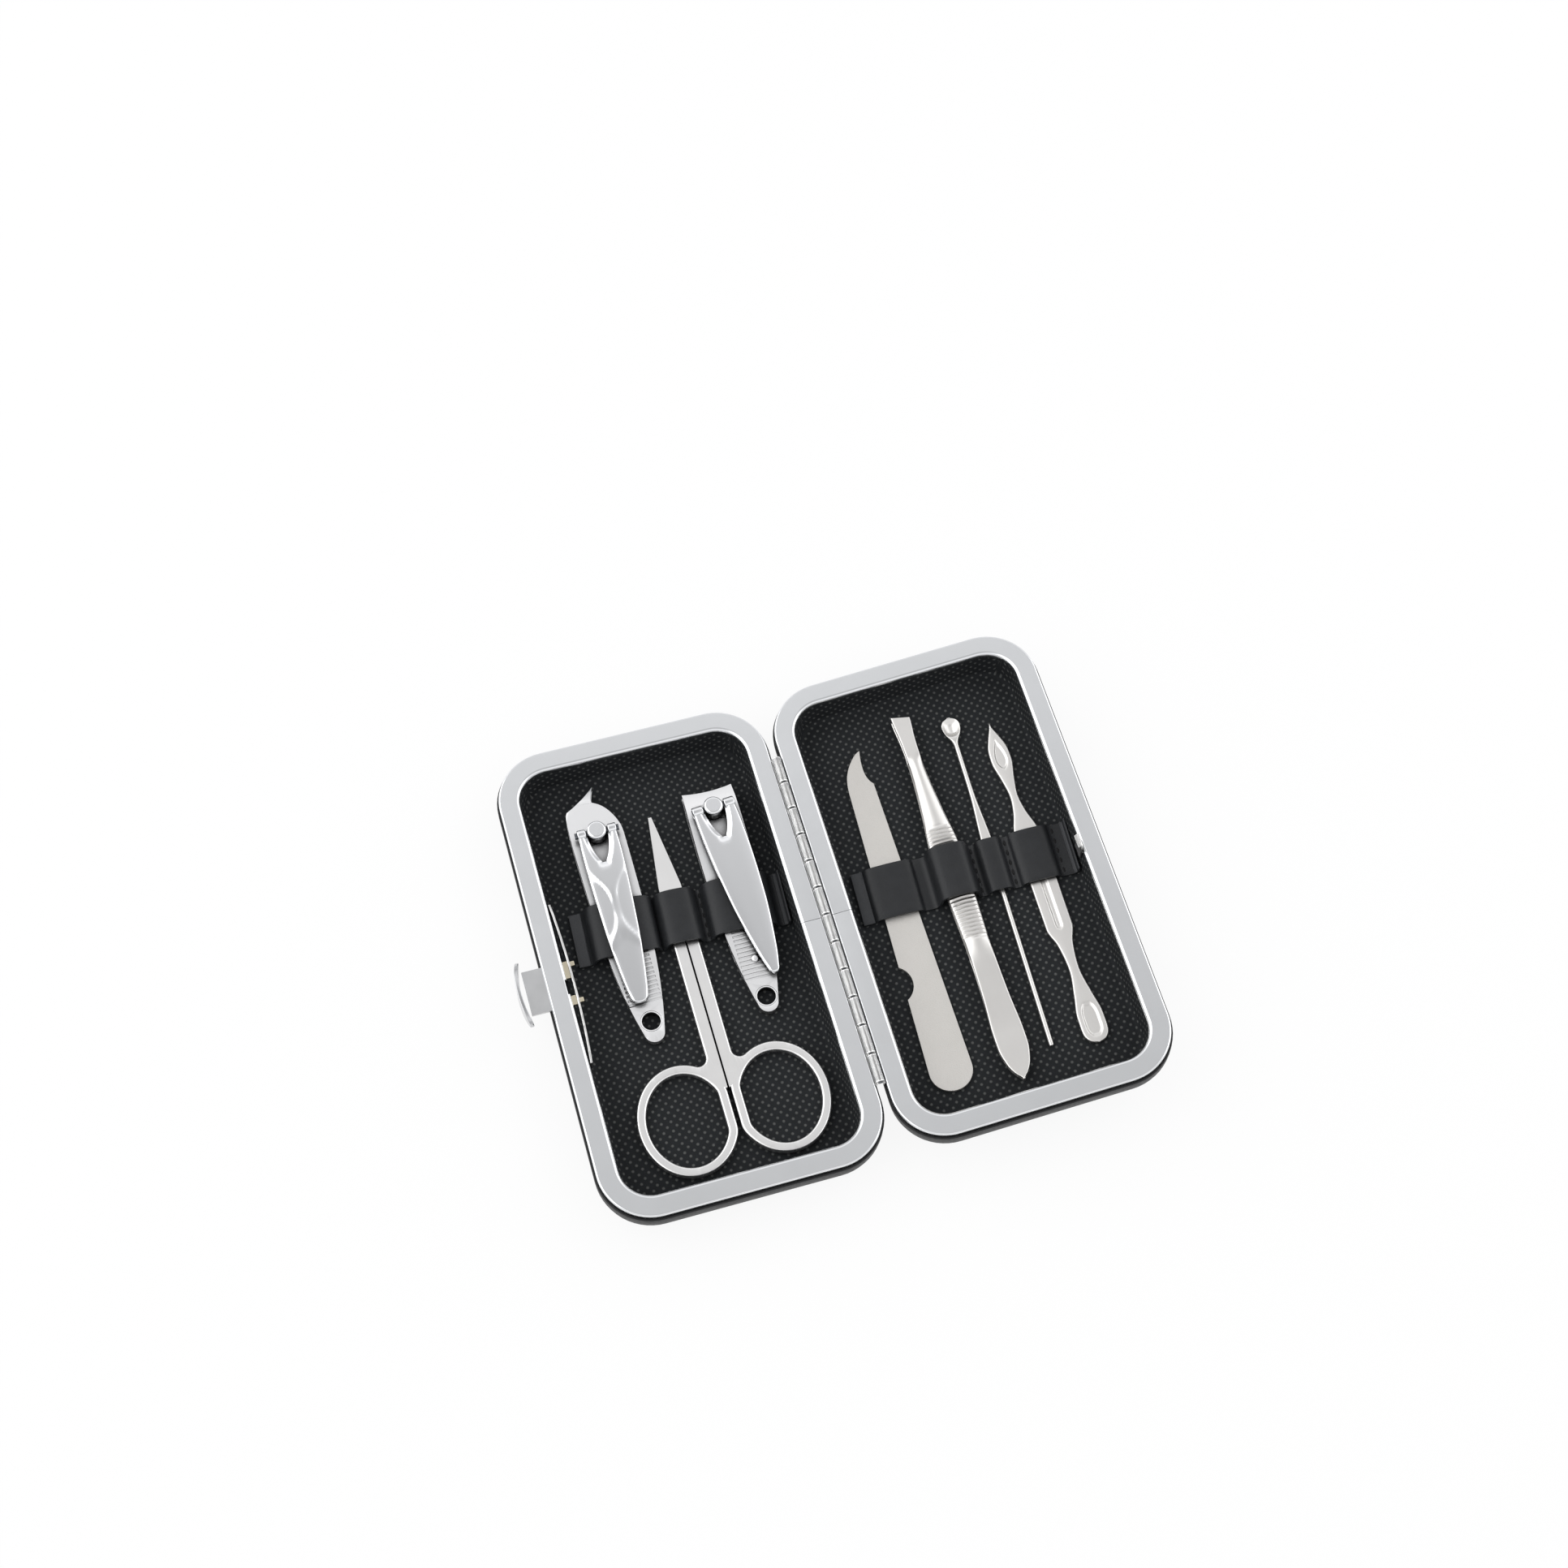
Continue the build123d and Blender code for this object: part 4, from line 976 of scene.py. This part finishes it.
def makeTweezerArm(upper):
    name = "tweezers_" + ("upper" if upper else "lower")
    places = [-43.9, -43.6, -43.2, -42.7, -42.1, -41.3]
    while places[-1] < tweezer["top"]:
        ribbed = tweezer["gripLow"] - 1 < places[-1] < tweezer["gripHigh"] + 1
        near = 32 < places[-1] < 37
        places.append(places[-1] + (tweezer["ribPitch"] / 5 if ribbed and upper else 0.4 if near else 0.8))
    places[-1] = tweezer["top"]
    piece = closeEnds(loftRows(name + "_sheet", [tweezerRow(y, ribsAt(y) if upper else 0.0) for y in places]))
    flip = Matrix.Diagonal((1, 1, 1 if upper else -1, 1))
    piece.data.transform(Matrix.Translation((0, 0, tweezer["middle"] * mm)) @ flip)
    if not upper:
        piece.data.flip_normals()
    piece.data.transform(lidSpot(*tweezer["at"]))
    smooth(piece)
    dress(piece, steelFinish, "tweezers_arm" if upper else "tweezers", "tool_steel", name + "_arm")


for upper in (False, True):
    makeTweezerArm(upper)
print("tweezers made")


# cuticle pusher

pusher = dict(top=38.75, thick=1.1, depth=0.32, bank=0.55, crown=0.10, edge=0.34, at=(47.6, -3.35, 0.94))
pusherHalf = ((-38.75, 0.3), (-38.46, 1.3), (-37.78, 2.15), (-36.41, 2.78), (-32.62, 2.85), (-27.65, 2.0),
              (-21.71, 1.15), (-15.77, 1.75), (-11.59, 2.95), (11.49, 2.75), (16.55, 1.45), (20.54, 0.95),
              (24.83, 1.5), (29.7, 2.35), (32.62, 2.2), (34.86, 1.55), (38.07, 0.3), (38.75, 0.05))
leafHalf = ((27.26, 0.0), (28.04, 0.85), (29.79, 1.35), (32.13, 1.0), (35.24, 0.0))
grooveHalf = ((-12.3, 0.0), (-11.9, 0.55), (-11.3, 0.75), (9, 0.75), (9.7, 0.0))
spoonHalf = ((-37.39, 0.0), (-37, 0.95), (-36.02, 1.6), (-34.08, 1.72), (-31.55, 1.6), (-30.18, 1.0),
             (-29.7, 0.0))


def makePusher():
    places = [-38.75, -38.65, -38.45, -38.15, -37.75]
    while places[-1] < pusher["top"]:
        places.append(places[-1] + 0.4)
    places[-1] = pusher["top"]
    rows = []
    for y in places:
        half = curveAt(pusherHalf, y)
        hollow = max(curveAt(table, y) for table in (leafHalf, grooveHalf, spoonHalf))

        def shape(x):
            inside = easeStep(0.0, pusher["bank"], hollow - abs(x) + 0.12) if hollow > 0.05 else 0.0
            return -pusher["depth"] * inside - pusher["crown"] * (abs(x) / max(half, 0.4)) ** 2

        thick = pusher["thick"] * (1 if abs(y) < 35 else 0.9)
        rows.append(plateRow(y, pusher["thick"], -half, half, shape, thick, pusher["edge"], 26))
    piece = closeEnds(loftRows("cuticle_pusher_bar", rows))
    # the underside stays flat where the face is pressed in
    for vert in piece.data.vertices:
        vert.co.z = max(vert.co.z, 0.0)
    piece.data.transform(lidSpot(*pusher["at"]))
    smooth(piece)
    dress(piece, steelFinish, "cuticle_pusher", "tool_steel", "cuticle_pusher")


makePusher()
print("pusher made")


# ear pick

pick = dict(top=40.45, radius=0.55, flat=0.34, bowlDepth=0.95, bowlSheet=0.42, bowlLift=0.25, bowlRise=0.35,
            at=(38.55, -0.75, 2.0))
pickHalf = ((-39.1, 0.45), (-38.8, 0.55), (-4, 0.55), (3, 0.95), (8, 1.28), (13, 1.05), (21, 0.62),
            (32, 0.55), (34.4, 0.68), (36.6, 1.7), (38.5, 2.05), (39.8, 1.5), (40.45, 0.4))


def makePick():
    places = [-39.1, -38.95, -38.7]
    while places[-1] < pick["top"]:
        places.append(places[-1] + (0.25 if places[-1] > 32.5 else 1.2))
    places[-1] = pick["top"]
    rows = []
    for y in places:
        half = curveAt(pickHalf, y)
        bowl = easeStep(34.2, 36.8, y)
        flat = easeStep(-3, 6, y) * (1 - easeStep(12, 20, y))
        hollow = pick["bowlDepth"] * bowl * (1 - easeStep(38.8, 40.45, y)) * easeStep(35.1, 37.2, y)
        lift = pick["bowlLift"] * bowl

        def shape(x):
            share = min(1.0, abs(x) / half)
            return -hollow * (1 - share ** 2) + lift

        thick = 2 * pick["radius"] * (1 - pick["flat"] * flat) * (1 - bowl) + pick["bowlSheet"] * bowl
        height = pick["radius"] + thick / 2 + pick["bowlRise"] * bowl
        rows.append(plateRow(y, height, -half, half, shape, thick, thick * 0.49, 10))
    piece = closeEnds(loftRows("ear_pick_rod", rows))
    piece.data.transform(lidSpot(*pick["at"]))
    smooth(piece, 45)
    dress(piece, steelFinish, "ear_pick", "tool_steel", "ear_pick")


makePick()
print("ear pick made")


# finishes on the pieces that keep their own solids

# the first key found in a piece's name counts
finishOf = dict(
    core=boardFinish, padding=foamFinish, rim=rimFinish, leaf=hingeFinish, hinge_pin=pinFinish,
    spring=springFinish, tab=claspFinish, plate=plateFinish, catch=springFinish, tweezers=steelFinish,
    arm=chromeFinish, eyelet=chromeFinish, post=leverFinish, cross_pin=pinFinish, lever=leverFinish,
    half=scissorFinish, screw=steelFinish, nail_file=gritFinish, pick=steelFinish, pusher=steelFinish)


def finishFor(name):
    for key, finish in finishOf.items():
        if key in name:
            return finish
    return coverFinish


edgeOf = dict(leaf=0.08, hinge_pin=0.05, spring=0.08, tab=0.1, plate=0.12, catch=0.06, arm=0.07, eyelet=0.08,
              half=0.14, screw=0.12, nail_file=0.12, pick=0.05, pusher=0.12, cross_pin=0.1)


def softenEdges(node, width):
    # merges the loose triangles, rounds the sharp edges a little and keeps the flats flat
    weld = node.modifiers.new("weld", "WELD")
    weld.merge_threshold = 0.000002
    if width:
        edges = node.modifiers.new("edges", "BEVEL")
        edges.width, edges.segments, edges.angle_limit = width * mm, 3, math.radians(32)
    shade = node.modifiers.new("shade", "WEIGHTED_NORMAL")
    shade.mode, shade.weight, shade.keep_sharp = "FACE_AREA", 100, False


# the tab pushes the leaf spring into the tray, and each half of it bends between the base and the tab; here
# the spring is only cut at its middle into those two halves, each sliced across
spring = dict(middle=-0.2, slices=9, rounding=0.08)


def makeSpringHalf(name, way):
    piece = linked(name, nodes["clasp_spring"].data.copy())
    choose(piece)
    low, high = [Vector(corner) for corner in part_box("clasp_spring")]
    tabLow, tabHigh = [Vector(corner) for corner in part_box("clasp_tab")]
    middle = spring["middle"] * mm
    end, held = (high.y, tabHigh.y) if way > 0 else (low.y, tabLow.y)
    setMode("EDIT")
    selectMesh("SELECT")
    bpy.ops.mesh.remove_doubles(threshold=0.000002)
    selectMesh("SELECT")
    bpy.ops.mesh.bisect(plane_co=(0, middle, 0), plane_no=(0, way, 0), clear_inner=True, use_fill=True)
    for number in range(1, spring["slices"]):
        selectMesh("SELECT")
        cut = middle + (end - middle) * number / spring["slices"]
        bpy.ops.mesh.bisect(plane_co=(0, cut, 0), plane_no=(0, 1, 0))
    setMode("OBJECT")
    softenEdges(piece, spring["rounding"])
    applyAll(piece)
    piece.data.materials.clear()
    piece.data.materials.append(springFinish)
    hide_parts("clasp_spring")
    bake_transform(piece)
    smooth(piece)


makeSpringHalf("clasp_spring_far", 1)
makeSpringHalf("clasp_spring_near", -1)
print("clasp spring made")

for name, node in nodes.items():
    node.data.materials.clear()
    node.data.materials.append(finishFor(name))
    if node.hide_render:
        continue
    choose(node)
    bpy.ops.object.shade_smooth()
    softenEdges(node, next((width for key, width in edgeOf.items() if key in name), 0))
print("finishes placed")


# floor, light and camera

def makeFloor():
    # matt white that glows a little, for the camera and in the reflections
    floor = startShape(bpy.ops.mesh.primitive_grid_add, "floor", x_subdivisions=2, y_subdivisions=2, size=4,
                       location=(0, 0, -0.00005))
    bpy.ops.object.transform_apply(location=True)
    board = Board("floorWhite", Base_Color=(0.93, 0.93, 0.93, 1), Roughness=0.9, Specular_IOR_Level=0.0)
    path = board.node("ShaderNodeLightPath")
    glow = board.node("ShaderNodeEmission", {}, {"Color": (1, 1, 1, 1), "Strength": 1.0})["Emission"]
    seen = board.math("MAXIMUM", path["Is Glossy Ray"], path["Is Transmission Ray"])
    share = path["Is Camera Ray"] * 0.9 + seen * 0.74
    mixed = board.tree.nodes.new("ShaderNodeMixShader")
    surface = board.tree.nodes["Material Output"].inputs["Surface"]
    for start, end in ((share.socket, mixed.inputs[0]), (board.shader.outputs[0], mixed.inputs[1]),
                       (glow.socket, mixed.inputs[2]), (mixed.outputs[0], surface)):
        board.tree.links.new(start, end)
    floor.data.materials.append(board.material)


# brightness of the studio from straight below to straight above
skyStops = ((0.0, 0.62), (0.28, 0.72), (0.36, 0.42), (0.46, 0.80), (0.66, 0.98), (0.80, 0.92), (0.88, 0.68),
            (0.95, 0.56), (1.0, 0.44))


def makeWorld():
    world = bpy.data.worlds.new("studio")
    bpy.context.scene.world = world
    world.use_nodes = True
    board = Board("studio", world.node_tree)
    direction = board.node("ShaderNodeTexCoord")["Generated"]
    up = board.node("ShaderNodeSeparateXYZ", {}, {"Vector": direction})["Z"]
    stops = [(place, (shade, shade, shade * 1.01)) for place, shade in skyStops]
    studio = board.node("ShaderNodeValToRGB", {"stops": stops}, {"Fac": up})["Color"]
    # the camera itself sees plain white
    path = board.node("ShaderNodeLightPath")
    seen = board.math("MAXIMUM", path["Is Camera Ray"], path["Is Transmission Ray"])
    shown = board.blend(seen, studio, (1, 1, 1))
    board.tree.links.new(shown.socket, board.tree.nodes["Background"].inputs["Color"])


def makeLamp(name, spot, size, power, aim=(0.03, 0, 0.01)):
    data = bpy.data.lights.new(name, "AREA")
    data.shape, data.size, data.energy = "DISK", size, power
    lamp = linked(name, data)
    lamp.location = spot
    lamp.rotation_euler = (Vector(aim) - Vector(spot)).to_track_quat("-Z", "Y").to_euler()


view = dict(spot=(-0.04788, -0.18593, 0.47966), forward=(0.1515, 0.4182, -0.8956),
            right=(0.9598, -0.2788, 0.0322), focal=2933.95, frameSize=1932, sensor=36.0)


def makeCamera():
    data = bpy.data.cameras.new("camera")
    data.sensor_width, data.sensor_fit = view["sensor"], "AUTO"
    data.lens = view["focal"] / view["frameSize"] * view["sensor"]
    data.clip_start, data.clip_end = 0.01, 10
    camera = linked("camera", data)
    ahead = Vector(view["forward"]).normalized()
    side = (Vector(view["right"]) - ahead * Vector(view["right"]).dot(ahead)).normalized()
    turn = Matrix((side, side.cross(ahead), -ahead)).transposed().to_4x4()
    camera.matrix_world = Matrix.Translation(view["spot"]) @ turn
    bpy.context.scene.camera = camera


makeFloor()
makeWorld()
makeLamp("keyLamp", (-0.80, 0.30, 0.64), 1.70, 6.4)
makeLamp("rightLamp", (0.75, 0.05, 0.42), 1.05, 1.9)
makeCamera()
bpy.context.scene.view_settings.view_transform = "Standard"
print("floor, light and camera set")
